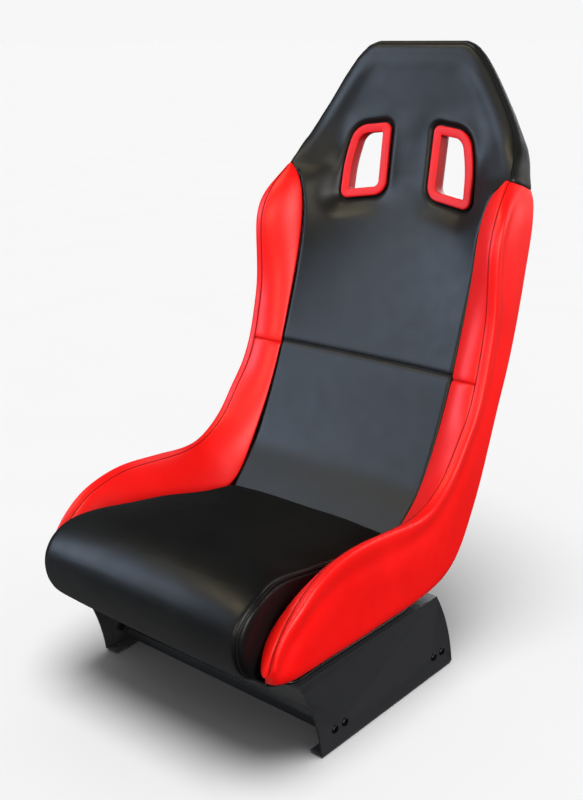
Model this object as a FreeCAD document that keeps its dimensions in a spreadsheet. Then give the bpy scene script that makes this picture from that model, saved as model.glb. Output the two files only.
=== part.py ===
"""Fixed-back racing bucket seat on two steel side brackets, in millimetres.

+Z is up, the sitter faces -Y, and the origin is on the floor, midway between the four floor bolts.
Left and right are the sitter's, so left is +X.
"""
import FreeCAD, Part
import os
import Sketcher
from math import cos, hypot, radians, sin

V = FreeCAD.Vector
DOC = FreeCAD.newDocument("RacingSeat")
SHEET = DOC.addObject("Spreadsheet::Sheet", "Dims")
SIDES = (("left", 1), ("right", -1))
TOUCH = 0.01  # how near a face must be to a plane to count as lying in it

# Sizes that drive the metalwork, the openings and the gaps.
SIZES = {
    "base_half": 252, "plate": 3, "base_top": 154, "foot": 4, "bracket_front": -178,
    "bracket_rear": 187, "bracket_lean": 57, "edge_sag": 10, "top_flange": 40, "low_flange": 24,
    "floor_half": 238, "floor_reach": 160, "floor_hole": 8.5, "foot_side": 24,
    "bar_front": -132, "bar_rear": 136, "bar_low": 12, "bar_tall": 15.5, "bar_deep": 25,
    "tab_long": 50, "tab_tall": 42, "tab_plate": 4, "tab_front": -135.5, "tab_rear": 139.5,
    "bolt_pitch": 25, "bolt_level": 39, "bolt": 8, "bolt_hole": 8.5, "head_wide": 14, "head_tall": 3.4,
    "head_round": 2.4, "socket": 5, "socket_deep": 2, "nut_wide": 13, "nut_tall": 6.5,
    "washer_wide": 16, "washer": 1.6, "past_nut": 2, "past_insert": 4,
    "seat_bolt_half": 218, "seat_bolt_front": -150, "seat_bolt_rear": 40,
    "laminate": 5, "shell_half": 231, "rail_half": 244, "rail_front": -235, "rail_rear": 60,
    "lip_front": -282, "lip_rise": 9, "lip_lean": 1, "wing_cover": 25, "bolster_cover": 13, "gap": 0.4,
    "insert_plate": 5, "insert_long": 60, "insert_wide": 14,
    "panel_half": 193, "side_half": 262, "side_round": 11, "side_low": 168, "toe_front": -264,
    "chin_front": -287, "chin_level": 176, "thigh_front": -289,
    "back_seam": 504, "neck": 760, "shoulder": 829, "shoulder_taper": 18, "taper_start": 720,
    "thigh_floor": 181, "thigh_half": 210, "head_half": 241, "head_inset": 14, "crown_inset": 8.4,
    "cushion_half": 206, "cushion_back_half": 186, "cushion_taper": -60, "cushion_back": 98,
    "base_board": 6, "board_half": 170, "board_front": -220, "board_rear": 80,
    "strip": 1.3, "strip_wide": 50, "strip_half": 110, "strip_front": -190, "strip_rear": 40,
    "slot_mid": 91, "slot_level": 838, "slot_depth": 376, "slot_lean": 8,
    "slot_inner": 44, "slot_outer_top": 28, "slot_outer_low": 52, "slot_rise": 69,
    "slot_rise_outer": 59, "slot_drop": 56, "slot_drop_outer": 70, "round_inner_top": 12,
    "round_inner_low": 28, "round_outer_low": 14, "round_outer_top": 30, "round_least": 3,
    "slot_rim": 16, "slot_wall": 4, "slot_flange": 4, "ring_rim": 3, "ring_flange": 3, "tunnel_long": 36,
    "margin": 50, "far": 2000,
}

# Side-view stations, each (y, z), from the front or the bottom of a curve to its top.
CURVES = {
    "crest": {"tip": (-294, 196), "nose": (-268, 249), "knee": (-200, 303), "thigh": (-110, 325),
              "lap": (0, 317), "fold": (75, 323), "hip": (140, 363), "loin": (208, 454),
              "waist": (240, 544), "chest": (254, 650), "armpit": (257, 735), "collar": (281, 784),
              "shoulder": (327, 829)},
    "rear": {"heel": (80, 168), "bend": (140, 180), "seat": (199, 233), "hip": (249, 328),
             "loin": (290, 427), "waist": (330, 525), "chest": (360, 626), "armpit": (383, 726),
             "shoulder": (390, 829)},
    "shell": {"heel": (72, 154), "turn": (100, 156.8), "bend": (130, 164), "seat": (176, 195),
              "hip": (222, 262), "loin": (270, 358), "waist": (311, 458), "ribs": (348, 558),
              "chest": (378, 658),
              "armpit": (397, 750), "shoulder": (409, 830), "neck": (418, 900), "head": (426, 980),
              "crown": (430, 1046)},
    "panel": {"heel": (102, 262), "hip": (163, 324), "loin": (223, 444), "waist": (267, 564),
              "chest": (294, 654), "armpit": (311, 744), "shoulder": (325, 829)},
    "spine": {"heel": (106, 262), "hip": (168, 324), "loin": (229, 444), "waist": (279, 564),
              "chest": (316, 654), "armpit": (353, 744), "shoulder": (378, 831)},
    "face": {"neck": (350, 740), "slot": (380, 838), "brow": (391, 915), "crown": (403, 1056)},
    "rim": {"neck": (288, 750), "collar": (296, 800), "shoulder": (327, 829), "temple": (364, 874),
            "brow": (384, 924),
            "side": (394, 990), "crown": (401, 1056)},
    "cushion": {"back": (98, 262), "seat": (-30, 275), "thigh": (-158, 299), "knee": (-236, 308),
                "edge": (-288, 300), "nose": (-319, 262), "shin": (-315, 213), "hem": (-290, 175)},
    "crown": {"temple": (231, 844), "brow": (206, 904), "side": (137, 1009), "corner": (106, 1037),
              "top": (62, 1055)},
}


def fill_sheet():
    """Every size and every curve station gets a cell of its own with an alias."""
    cells = dict(SIZES)
    for curve, stations in CURVES.items():
        for station, (across, up) in stations.items():
            cells["%s_%s_across" % (curve, station)] = across
            cells["%s_%s_up" % (curve, station)] = up
    for row, (alias, value) in enumerate(cells.items(), 1):
        SHEET.set("A%d" % row, alias)
        SHEET.set("B%d" % row, str(value))
        SHEET.setAlias("B%d" % row, alias)
    DOC.recompute()


def dim(alias):
    """One size, read back from the sheet."""
    return float(SHEET.get(alias))


def curve(name):
    """A curve's stations as (across, up) pairs, read back from the sheet."""
    return [(dim("%s_%s_across" % (name, s)), dim("%s_%s_up" % (name, s))) for s in CURVES[name]]


def between(name, first, last, points=None):
    """The curve's own or the given points, from one named station to another."""
    stations = list(CURVES[name])
    points = points or curve(name)
    return points[stations.index(first):stations.index(last) + 1]


def shifted(points, distance):
    """The points moved sideways, to the left of their direction of travel."""
    moved = []
    for index, (across, up) in enumerate(points):
        before = points[max(index - 1, 0)]
        after = points[min(index + 1, len(points) - 1)]
        run, rise = after[0] - before[0], after[1] - before[1]
        length = hypot(run, rise)
        moved.append((across - distance * rise / length, up + distance * run / length))
    return moved


def line(start, end):
    """A straight edge in a sketch's plane."""
    return Part.LineSegment(V(*start, 0), V(*end, 0))


def arc(start, middle, end):
    """An arc through three points of a sketch's plane."""
    return Part.Arc(V(*start, 0), V(*middle, 0), V(*end, 0))


def spline(points):
    """One smooth edge through all the points."""
    smooth = Part.BSplineCurve()
    smooth.interpolate([V(across, up, 0) for across, up in points])
    return smooth


def stretch(points, first, last):
    """The part of the spline through the points that runs from one of them to another."""
    smooth = spline(points)
    ends = [smooth.parameter(V(*points[index], 0)) for index in (first, last)]
    smooth.segment(*ends)
    return smooth


def polygon(points):
    """The straight edges of a closed outline."""
    return [line(point, points[(index + 1) % len(points)]) for index, point in enumerate(points)]


def new_body(label, several=False):
    """A body for one sub-part; several lets it hold separate solids."""
    body = DOC.addObject("PartDesign::Body", label)
    body.Label = label
    body.AllowCompound = several
    return body


def new_sketch(body, name, role, offset=None, geometry=()):
    """A sketch on one of the body's own origin planes, moved off it by an expression."""
    sketch = body.newObject("Sketcher::SketchObject", "%s_%s" % (body.Name, name))
    plane = [item for item in body.Origin.OriginFeatures if item.Role == role][0]
    sketch.AttachmentSupport = [(plane, "")]
    sketch.MapMode = "FlatFace"
    if offset:
        sketch.setExpression("AttachmentOffset.Base.z", offset)
    for item in geometry:
        sketch.addGeometry(item, False)
    return sketch


def rectangle(sketch, low_x, high_x, low_y, high_y):
    """A rectangle whose four sides are expressions of the sheet."""
    west, east, south, north = [SHEET.evalExpression(text.replace("Dims.", ""))
                                for text in (low_x, high_x, low_y, high_y)]
    corners = ((west, south), (east, south), (east, north), (west, north))
    first = sketch.GeometryCount
    for item in polygon(corners):
        sketch.addGeometry(item, False)
    for index in range(4):
        following = first + (index + 1) % 4
        sketch.addConstraint(Sketcher.Constraint("Coincident", first + index, 2, following, 1))
    for index, kind in enumerate(("Horizontal", "Vertical", "Horizontal", "Vertical")):
        sketch.addConstraint(Sketcher.Constraint(kind, first + index))
    anchors = (("DistanceX", first, west, low_x), ("DistanceY", first, south, low_y),
               ("DistanceX", first + 2, east, high_x), ("DistanceY", first + 2, north, high_y))
    for kind, edge, value, text in anchors:
        bind(sketch, kind, edge, 1, value, text)


def bind(sketch, kind, edge, point, value, text):
    """A distance from the sketch's origin to a point, held by an expression."""
    sign = -1 if value < 0 else 1
    ends = (edge, point, -1, 1) if value < 0 else (-1, 1, edge, point)
    number = sketch.addConstraint(Sketcher.Constraint(kind, *ends, abs(value)))
    sketch.setExpression("Constraints[%d]" % number, text if sign > 0 else "-(%s)" % text)


def circle(sketch, across, up, diameter):
    """A circle whose centre and diameter are expressions of the sheet."""
    x, y, wide = [SHEET.evalExpression(text.replace("Dims.", "")) for text in (across, up, diameter)]
    edge = sketch.addGeometry(Part.Circle(V(x, y, 0), V(0, 0, 1), wide / 2), False)
    bind(sketch, "DistanceX", edge, 3, x, across)
    bind(sketch, "DistanceY", edge, 3, y, up)
    number = sketch.addConstraint(Sketcher.Constraint("Diameter", edge, wide))
    sketch.setExpression("Constraints[%d]" % number, diameter)


def pad(body, sketch, length, reverse=False, midplane=False):
    """Raises the sketch by a length, given as an expression."""
    feature = body.newObject("PartDesign::Pad", "%s_pad" % sketch.Name)
    feature.Profile = sketch
    feature.setExpression("Length", length)
    feature.Reversed = reverse
    feature.Midplane = midplane
    finish(body, feature, sketch)
    return feature


def cut_through(body, sketch):
    """Cuts the sketch right through the body, both ways."""
    before = body.Shape.Volume
    feature = body.newObject("PartDesign::Pocket", "%s_cut" % sketch.Name)
    feature.Profile = sketch
    feature.Type = "ThroughAll"
    feature.Midplane = True
    finish(body, feature, sketch)
    if not body.Shape.Volume < before:
        raise ValueError("%s cuts nothing" % sketch.Name)


def cut_deep(body, sketch, depth, reverse):
    """Cuts the sketch to a depth, given as an expression."""
    before = body.Shape.Volume
    feature = body.newObject("PartDesign::Pocket", "%s_cut" % sketch.Name)
    feature.Profile = sketch
    feature.setExpression("Length", depth)
    feature.Reversed = reverse
    finish(body, feature, sketch)
    if not body.Shape.Volume < before:
        raise ValueError("%s cuts nothing" % sketch.Name)


def loft(body, sketches):
    """Joins the sketches, in their order, with one smooth solid."""
    feature = body.newObject("PartDesign::AdditiveLoft", "%s_loft" % sketches[0].Name)
    feature.Profile = sketches[0]
    feature.Sections = sketches[1:]
    finish(body, feature, sketches[0])


def finish(body, feature, sketch):
    """Makes the feature the body's tip and stops the build if it failed."""
    body.Tip = feature
    DOC.recompute()
    if "Invalid" in feature.State or "Error" in feature.State or feature.Shape.isNull():
        raise ValueError("%s failed on %s" % (feature.Name, sketch.Name))


def trim(body, low, high):
    """Keeps the part of the body between two levels, each an expression or None."""
    if low:
        sketch = new_sketch(body, "below", "YZ_Plane")
        rectangle(sketch, "-Dims.far", "Dims.far", "-Dims.far", low)
        cut_through(body, sketch)
    if high:
        sketch = new_sketch(body, "above", "YZ_Plane")
        rectangle(sketch, "-Dims.far", "Dims.far", high, "Dims.far")
        cut_through(body, sketch)


# ---------------------------------------------------------------- steel base

def bracket_outline():
    """The side plate: level top and bottom, both ends bowed the same way."""
    low, high = dim("foot"), dim("base_top")
    front, rear = dim("bracket_front"), dim("bracket_rear")
    lean, sag = dim("bracket_lean"), dim("edge_sag")
    middle = (low + high) / 2
    return [line((front, low), (rear, low)),
            arc((rear, low), (rear - lean / 2 + sag, middle), (rear - lean, high)),
            line((rear - lean, high), (front - lean, high)),
            arc((front - lean, high), (front - lean / 2 + sag, middle), (front, low))]


def make_bracket(name, sign):
    """C-section side bracket: a bowed plate with an inward flange along the top and the bottom."""
    body = new_body("%s_bracket" % name)
    side = "+" if sign > 0 else "-"
    plate = new_sketch(body, "plate", "YZ_Plane", "%sDims.base_half" % side, bracket_outline())
    pad(body, plate, "Dims.plate", reverse=sign > 0)
    flanges = (("low", "Dims.low_flange", "Dims.foot", False, "Dims.bracket_front", "Dims.bracket_rear"),
               ("top", "Dims.top_flange", "Dims.base_top", True,
                "Dims.bracket_front - Dims.bracket_lean", "Dims.bracket_rear - Dims.bracket_lean"))
    for level, reach, height, downward, front, rear in flanges:
        sketch = new_sketch(body, level, "XY_Plane", height)
        edges = ("Dims.base_half - %s" % reach, "Dims.base_half")
        if sign < 0:
            edges = ("%s - Dims.base_half" % reach, "-Dims.base_half")[::-1]
        rectangle(sketch, *edges, front, rear)
        pad(body, sketch, "Dims.plate", reverse=downward)
    bores = new_sketch(body, "bar_bores", "YZ_Plane", "%sDims.base_half" % side)
    crossbar_circles(bores, "Dims.bolt_hole")
    cut_through(body, bores)
    floor = new_sketch(body, "floor_bores", "XY_Plane", "Dims.foot")
    for step in ("-", "+"):
        circle(floor, "%sDims.floor_half" % side, "%sDims.floor_reach" % step, "Dims.floor_hole")
    cut_deep(body, floor, "Dims.plate", reverse=True)
    seat = new_sketch(body, "seat_bores", "XY_Plane", "Dims.base_top")
    for place in ("front", "rear"):
        circle(seat, "%sDims.seat_bolt_half" % side, "Dims.seat_bolt_%s" % place, "Dims.bolt_hole")
    cut_deep(body, seat, "Dims.plate", reverse=False)


def make_crossbar(place):
    """Angle bar whose flange points under the seat, with a bolting tab at each end."""
    body = new_body("%s_crossbar" % place)
    half = "Dims.base_half - Dims.plate - Dims.tab_plate"
    sketch = new_sketch(body, "angle", "YZ_Plane")
    face, low, tall = dim("bar_" + place), dim("bar_low"), dim("bar_tall")
    back = face + dim("bar_deep") * (1 if place == "front" else -1)
    inner = face + dim("plate") * (1 if place == "front" else -1)
    for item in polygon([(face, low), (back, low), (back, low + dim("plate")), (inner, low + dim("plate")),
                         (inner, low + tall), (face, low + tall)]):
        sketch.addGeometry(item, False)
    pad(body, sketch, "2 * (%s)" % half, midplane=True)
    for name, sign in SIDES:
        side = "+" if sign > 0 else "-"
        tab = new_sketch(body, "%s_tab" % name, "YZ_Plane", "%s(%s)" % (side, half))
        rectangle(tab, "Dims.tab_%s - Dims.tab_long / 2" % place, "Dims.tab_%s + Dims.tab_long / 2" % place,
                  "Dims.bar_low", "Dims.bar_low + Dims.tab_tall")
        pad(body, tab, "Dims.tab_plate", reverse=sign < 0)
    bores = new_sketch(body, "bores", "YZ_Plane")
    crossbar_circles(bores, "Dims.bolt_hole", [place])
    cut_through(body, bores)


def crossbar_circles(sketch, diameter, places=("front", "rear")):
    """A circle on every bolt of the crossbars' tabs."""
    for tab in places:
        for step in ("-", "+"):
            circle(sketch, "Dims.tab_%s %s Dims.bolt_pitch / 2" % (tab, step), "Dims.bolt_level", diameter)


def seat_circles(sketch, diameter):
    """A circle on each of the four bolts that hold the seat."""
    for place in ("front", "rear"):
        for side in ("-", "+"):
            circle(sketch, "%sDims.seat_bolt_half" % side, "Dims.seat_bolt_%s" % place, diameter)


def hexagons(sketch, centres, width):
    """A hexagon of the given width across its flats on each centre."""
    corner = width / 3 ** 0.5
    turns = [radians(angle) for angle in range(0, 360, 60)]
    for across, up in centres:
        for item in polygon([(across + corner * cos(turn), up + corner * sin(turn)) for turn in turns]):
            sketch.addGeometry(item, False)


def bolt_centres():
    """Centres of one side's crossbar bolts, in the side view."""
    return [(dim("tab_" + tab) + step * dim("bolt_pitch") / 2, dim("bolt_level"))
            for tab in ("front", "rear") for step in (-1, 1)]


def seat_bolt_centres():
    """Centres of the seat bolts, seen from above."""
    return [(side * dim("seat_bolt_half"), dim("seat_bolt_" + place))
            for place in ("front", "rear") for side in (-1, 1)]


def make_crossbar_bolts(name, sign):
    """Button-head screws through one bracket and the tabs behind it."""
    body = new_body("%s_crossbar_bolts" % name, several=True)
    side = "+" if sign > 0 else "-"
    heads = new_sketch(body, "heads", "YZ_Plane", "%sDims.base_half" % side)
    crossbar_circles(heads, "Dims.head_wide")
    pad(body, heads, "Dims.head_tall", reverse=sign < 0)
    top = dim("base_half") + dim("head_tall") - TOUCH
    round_heads(body, lambda face: abs(face.CenterOfMass.x) > top, dim("head_round"))
    shanks = new_sketch(body, "shanks", "YZ_Plane", "%sDims.base_half" % side)
    crossbar_circles(shanks, "Dims.bolt")
    pad(body, shanks, "Dims.plate + Dims.tab_plate + Dims.nut_tall + Dims.past_nut", reverse=sign > 0)
    sockets = new_sketch(body, "sockets", "YZ_Plane", "%s(Dims.base_half + Dims.head_tall)" % side)
    hexagons(sockets, bolt_centres(), dim("socket"))
    cut_deep(body, sockets, "Dims.socket_deep", reverse=sign < 0)


def round_heads(body, is_top, radius):
    """Rounds the outer edge of every head in the body."""
    base = body.Tip
    edges = []
    for face in base.Shape.Faces:
        if face.Surface.TypeId == "Part::GeomPlane" and is_top(face):
            edges.append(face.OuterWire.Edges[0])
    names = ["Edge%d" % (index + 1) for index, edge in enumerate(base.Shape.Edges)
             if any(edge.isSame(found) for found in edges)]
    feature = body.newObject("PartDesign::Fillet", "%s_round" % body.Name)
    feature.Base = (base, names)
    feature.Radius = radius
    finish(body, feature, base)


def make_crossbar_nuts(name, sign):
    """Hexagon nuts behind the tabs of one bracket."""
    body = new_body("%s_crossbar_nuts" % name, several=True)
    side = "+" if sign > 0 else "-"
    inner = "%s(Dims.base_half - Dims.plate - Dims.tab_plate)" % side
    nuts = new_sketch(body, "nuts", "YZ_Plane", inner)
    hexagons(nuts, bolt_centres(), dim("nut_wide"))
    crossbar_circles(nuts, "Dims.bolt")
    pad(body, nuts, "Dims.nut_tall", reverse=sign > 0)


def make_seat_bolts():
    """Button-head screws from under the brackets into the shell's plates."""
    body = new_body("seat_bolts", several=True)
    under = "Dims.base_top - Dims.plate - Dims.washer"
    heads = new_sketch(body, "heads", "XY_Plane", under)
    seat_circles(heads, "Dims.head_wide")
    pad(body, heads, "Dims.head_tall", reverse=True)
    bottom = dim("base_top") - dim("plate") - dim("washer") - dim("head_tall")
    round_heads(body, lambda face: face.CenterOfMass.z < bottom + TOUCH, dim("head_round"))
    shanks = new_sketch(body, "shanks", "XY_Plane", under)
    seat_circles(shanks, "Dims.bolt")
    pad(body, shanks, "Dims.washer + Dims.plate + Dims.laminate + Dims.insert_plate + Dims.past_insert")
    sockets = new_sketch(body, "sockets", "XY_Plane", "%s - Dims.head_tall" % under)
    hexagons(sockets, seat_bolt_centres(), dim("socket"))
    cut_deep(body, sockets, "Dims.socket_deep", reverse=True)


def make_seat_washers():
    """Flat washers between the seat bolts' heads and the brackets."""
    body = new_body("seat_washers", several=True)
    washers = new_sketch(body, "rings", "XY_Plane", "Dims.base_top - Dims.plate")
    seat_circles(washers, "Dims.washer_wide")
    seat_circles(washers, "Dims.bolt_hole")
    pad(body, washers, "Dims.washer", reverse=True)


def make_shell_inserts():
    """Tapped steel plates bonded to the shell's floor over the seat bolts."""
    body = new_body("shell_inserts", several=True)
    plates = new_sketch(body, "plates", "XY_Plane", "Dims.base_top + Dims.laminate")
    for side in ("-", "+"):
        for place in ("front", "rear"):
            edges = ["%sDims.seat_bolt_half %s Dims.insert_wide / 2" % (side, step) for step in ("-", "+")]
            ends = ["Dims.seat_bolt_%s %s Dims.insert_long / 2" % (place, step) for step in ("-", "+")]
            rectangle(plates, *edges, *ends)
    seat_circles(plates, "Dims.bolt")
    pad(body, plates, "Dims.insert_plate")


def make_feet():
    """Rubber pads under the brackets, each with the floor bolt's hole."""
    body = new_body("rubber_feet", several=True)
    pads = new_sketch(body, "pads", "XY_Plane")
    for side in ("-", "+"):
        for end in ("-", "+"):
            edges = ["%sDims.floor_half %s Dims.foot_side / 2" % (side, step) for step in ("-", "+")]
            ends = ["%sDims.floor_reach %s Dims.foot_side / 2" % (end, step) for step in ("-", "+")]
            rectangle(pads, *edges, *ends)
            circle(pads, "%sDims.floor_half" % side, "%sDims.floor_reach" % end, "Dims.floor_hole")
    pad(body, pads, "Dims.foot")


# ---------------------------------------------------------------- shell

def foam_back(first, last):
    """The foam's rear face between two of the shell's stations, with its two end points."""
    points = shifted(curve("shell"), dim("laminate") + dim("gap"))
    low, high = [list(CURVES["shell"]).index(station) for station in (first, last)]
    return stretch(points, low, high), points[low], points[high]


def head_cut(inset, drop):
    """The region above the shoulders that lies outside the head, inset and lowered all round."""
    level = dim("shoulder")
    crown = [(across - inset, up - drop) for across, up in curve("crown")]
    rising = [(dim("head_half") - inset, level)] + crown
    falling = [(-across, up) for across, up in rising]
    runs = [line(start, end) for start, end in zip(rising[:3], rising[1:4])]
    runs += [line(start, end) for start, end in zip(falling[:3], falling[1:4])]
    runs += [spline(rising[3:]), spline(falling[3:]), line(rising[-1], falling[-1])]
    far, top = 2 * dim("side_half"), 2 * level
    ring = [falling[0], (-far, level), (-far, top), (far, top), (far, level), rising[0]]
    return runs + [line(start, end) for start, end in zip(ring, ring[1:])]


def slot_corners(sign, inset):
    """The harness slot's four corners, moved inwards, with their corner radii."""
    corners = [(-dim("slot_inner"), dim("slot_rise"), dim("round_inner_top")),
               (-dim("slot_inner"), -dim("slot_drop"), dim("round_inner_low")),
               (dim("slot_outer_low"), -dim("slot_drop_outer"), dim("round_outer_low")),
               (dim("slot_outer_top"), dim("slot_rise_outer"), dim("round_outer_top"))]
    moved = []
    for index, (across, up, radius) in enumerate(corners):
        before = unit(corners[index - 1], corners[index])
        after = unit(corners[index], corners[(index + 1) % 4])
        turn = 1 + before[0] * after[0] + before[1] * after[1]
        shift_across = -inset * (before[1] + after[1]) / turn
        shift_up = inset * (before[0] + after[0]) / turn
        rounding = max(radius - inset, dim("round_least"))
        moved.append((sign * (across + shift_across), up + shift_up, rounding))
    return moved


def unit(start, end):
    """The direction from one point to another, with length one."""
    run, rise = end[0] - start[0], end[1] - start[1]
    length = hypot(run, rise)
    return run / length, rise / length


def slot_outline(sign, inset):
    """A closed outline of lines and corner arcs round the slot."""
    corners = slot_corners(sign, inset)
    arcs = []
    for index, corner in enumerate(corners):
        arcs.append(corner_arc(corners[index - 1], corner, corners[(index + 1) % 4]))
    runs = []
    for index, (start, middle, end) in enumerate(arcs):
        runs.append(arc(start, middle, end))
        runs.append(line(end, arcs[(index + 1) % 4][0]))
    return runs


def corner_arc(before, corner, after):
    """Start, middle and end of the arc that rounds one corner."""
    x, y, radius = corner
    back, on = unit(corner, before), unit(corner, after)
    half = (back[0] * on[0] + back[1] * on[1] + 1) / 2
    reach = radius * (half / (1 - half)) ** 0.5
    to_centre = radius / (1 - half) ** 0.5
    aim = unit((0, 0), (back[0] + on[0], back[1] + on[1]))
    near = to_centre - radius
    return ((x + back[0] * reach, y + back[1] * reach), (x + aim[0] * near, y + aim[1] * near),
            (x + on[0] * reach, y + on[1] * reach))


def slot_sketch(body, name, sign, insets, behind=0):
    """A sketch square to the tunnel, this far behind the bezel's seat."""
    sketch = new_sketch(body, name, "XZ_Plane")
    lean = FreeCAD.Rotation(V(1, 0, 0), -dim("slot_lean"))
    seat = V(sign * dim("slot_mid"), dim("slot_level"), -dim("slot_depth"))
    sketch.AttachmentOffset = FreeCAD.Placement(seat + lean.multVec(V(0, 0, -behind)), lean)
    for inset in insets:
        for item in slot_outline(sign, inset):
            sketch.addGeometry(item, False)
    return sketch


def cut_slots(body, inset):
    """Cuts both harness openings through the body."""
    for name, sign in SIDES:
        cut_through(body, slot_sketch(body, "%s_slot" % name, sign, [inset]))


def make_shell():
    """Moulded bucket: floor with a raised front lip, back wall, and a wing up each side."""
    body = new_body("seat_shell")
    laminate, floor = dim("laminate"), dim("base_top")
    outer = curve("shell")
    inner = shifted(outer, laminate)
    bend = dim("rail_front") - laminate
    lip = (dim("lip_front"), floor + dim("lip_rise"))
    lip_top = (lip[0] - dim("lip_lean"), lip[1] + laminate)
    wall = [line(lip, (bend, floor)), line((bend, floor), outer[0]), spline(outer),
            line(outer[-1], inner[-1]), spline(inner), line(inner[0], (bend, floor + laminate)),
            line((bend, floor + laminate), lip_top), line(lip_top, lip)]
    pad(body, new_sketch(body, "wall", "YZ_Plane", None, wall), "2 * Dims.shell_half", midplane=True)
    rails = new_sketch(body, "rails", "XY_Plane", "Dims.base_top")
    rectangle(rails, "-Dims.rail_half", "Dims.rail_half", "Dims.rail_front", "Dims.rail_rear")
    pad(body, rails, "Dims.laminate")
    for name, sign in SIDES:
        side = "+" if sign > 0 else "-"
        wing = new_sketch(body, "%s_wing" % name, "YZ_Plane", "%sDims.shell_half" % side, wing_outline())
        pad(body, wing, "Dims.laminate", reverse=sign > 0)
    bores = new_sketch(body, "bores", "XY_Plane", "Dims.base_top")
    seat_circles(bores, "Dims.bolt_hole")
    cut_deep(body, bores, "Dims.laminate", reverse=True)
    outside = head_cut(dim("head_inset"), dim("crown_inset"))
    cut_through(body, new_sketch(body, "head", "XZ_Plane", None, outside))
    cut_slots(body, dim("slot_rim") - dim("slot_wall") - dim("gap"))


def wing_outline():
    """One wing's side view, from the middle of the laminate to a strip below the crest."""
    middle = dim("laminate") / 2
    edge = shifted(curve("crest"), -dim("wing_cover"))
    wall = shifted(between("shell", "heel", "shoulder"), middle)
    floor = dim("base_top") + middle
    bend = (dim("rail_front"), floor)
    return [spline(edge), line(edge[-1], wall[-1]), spline(wall), line(wall[0], bend), line(bend, edge[0])]


# ---------------------------------------------------------------- foam and covers

def make_outer_side(name, sign):
    """Padded outer side, from the crest seam round to the rear corner."""
    body = new_body("%s_outer_side" % name)
    side = "+" if sign > 0 else "-"
    crest, rear = curve("crest"), curve("rear")
    toe = (dim("toe_front"), dim("side_low"))
    chin = (dim("chin_front"), dim("chin_level"))
    outline = [spline(crest), line(crest[-1], rear[-1]), spline(rear), line(rear[0], toe),
               arc(toe, chin, crest[0])]
    sketch = new_sketch(body, "outline", "YZ_Plane", "%s(Dims.shell_half + Dims.gap)" % side, outline)
    pad(body, sketch, "Dims.side_half - Dims.shell_half - Dims.gap", reverse=sign < 0)
    round_heads(body, lambda face: abs(face.CenterOfMass.x) > dim("side_half") - TOUCH, dim("side_round"))
    far, top = dim("side_half") + dim("margin"), dim("shoulder") + dim("margin")
    start = (sign * dim("side_half"), dim("taper_start"))
    end = (sign * (dim("side_half") - dim("shoulder_taper")), dim("shoulder"))
    taper = polygon([start, end, (end[0], top), (sign * far, top), (sign * far, start[1])])
    cut_through(body, new_sketch(body, "taper", "XZ_Plane", None, taper))


def blend_sections(body, name, sign, front, middle, first, last):
    """Two side-view sections: the panel's edge, and the wing's face under the crest."""
    side = "+" if sign > 0 else "-"
    rear, low, high = foam_back(first, last)
    sections = []
    for label, offset, edge in (("panel", "Dims.panel_half", front),
                                ("wing", "Dims.shell_half - Dims.laminate - Dims.gap", middle)):
        outline = [spline(edge), line(edge[-1], high), rear, line(low, edge[0])]
        sections.append(new_sketch(body, "%s_%s" % (name, label), "YZ_Plane", "%s(%s)" % (side, offset),
                                   outline))
    loft(body, sections)


def make_torso_bolster(name, sign):
    """Foam inside the wing beside the sitter's ribs, above the cross seam."""
    body = new_body("%s_torso_bolster" % name)
    under_crest = shifted(curve("crest"), -dim("bolster_cover"))
    blend_sections(body, "ribs", sign, between("panel", "loin", "shoulder"),
                   between("crest", "loin", "shoulder", under_crest), "loin", "shoulder")
    trim(body, "Dims.back_seam + Dims.gap", "Dims.shoulder")


def make_thigh_bolster(name, sign):
    """Foam inside the wing beside the sitter's hips and thighs, below the cross seam."""
    body = new_body("%s_thigh_bolster" % name)
    side = "+" if sign > 0 else "-"
    under_crest = shifted(curve("crest"), -dim("bolster_cover"))
    blend_sections(body, "hip", sign, between("panel", "heel", "waist"),
                   between("crest", "fold", "waist", under_crest), "seat", "ribs")
    rear, low, high = foam_back("seat", "loin")
    floor = dim("thigh_floor")
    corner, toe = (dim("shell_bend_across"), floor), (dim("thigh_front"), floor)
    over = between("crest", "tip", "loin", under_crest)
    outline = [spline(over), line(over[-1], high), rear,
               line(low, corner), line(corner, toe), line(toe, over[0])]
    thigh = new_sketch(body, "thigh", "YZ_Plane", "%sDims.thigh_half" % side, outline)
    pad(body, thigh, "Dims.shell_half - Dims.laminate - Dims.gap - Dims.thigh_half", reverse=sign < 0)
    trim(body, None, "Dims.back_seam")


def back_sections(body, half, edge, middle, first, last):
    """Three side-view sections across the back: both edges and the middle."""
    rear, low, high = foam_back(first, last)
    top = (high[0] + dim("gap"), middle[-1][1])
    sections = []
    for label, offset, front in (("right", "-(%s)" % half, edge), ("middle", "0", middle),
                                 ("left", half, edge)):
        outline = [spline(front), line(front[-1], top), line(top, high), rear, line(low, front[0])]
        sections.append(new_sketch(body, label, "YZ_Plane", offset, outline))
    loft(body, sections)


def make_back_pad(label, low, high):
    """The back's foam between two levels, each an expression or None."""
    body = new_body(label)
    back_sections(body, "Dims.panel_half - Dims.gap", curve("panel"), curve("spine"), "seat", "shoulder")
    trim(body, low, high)


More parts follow.
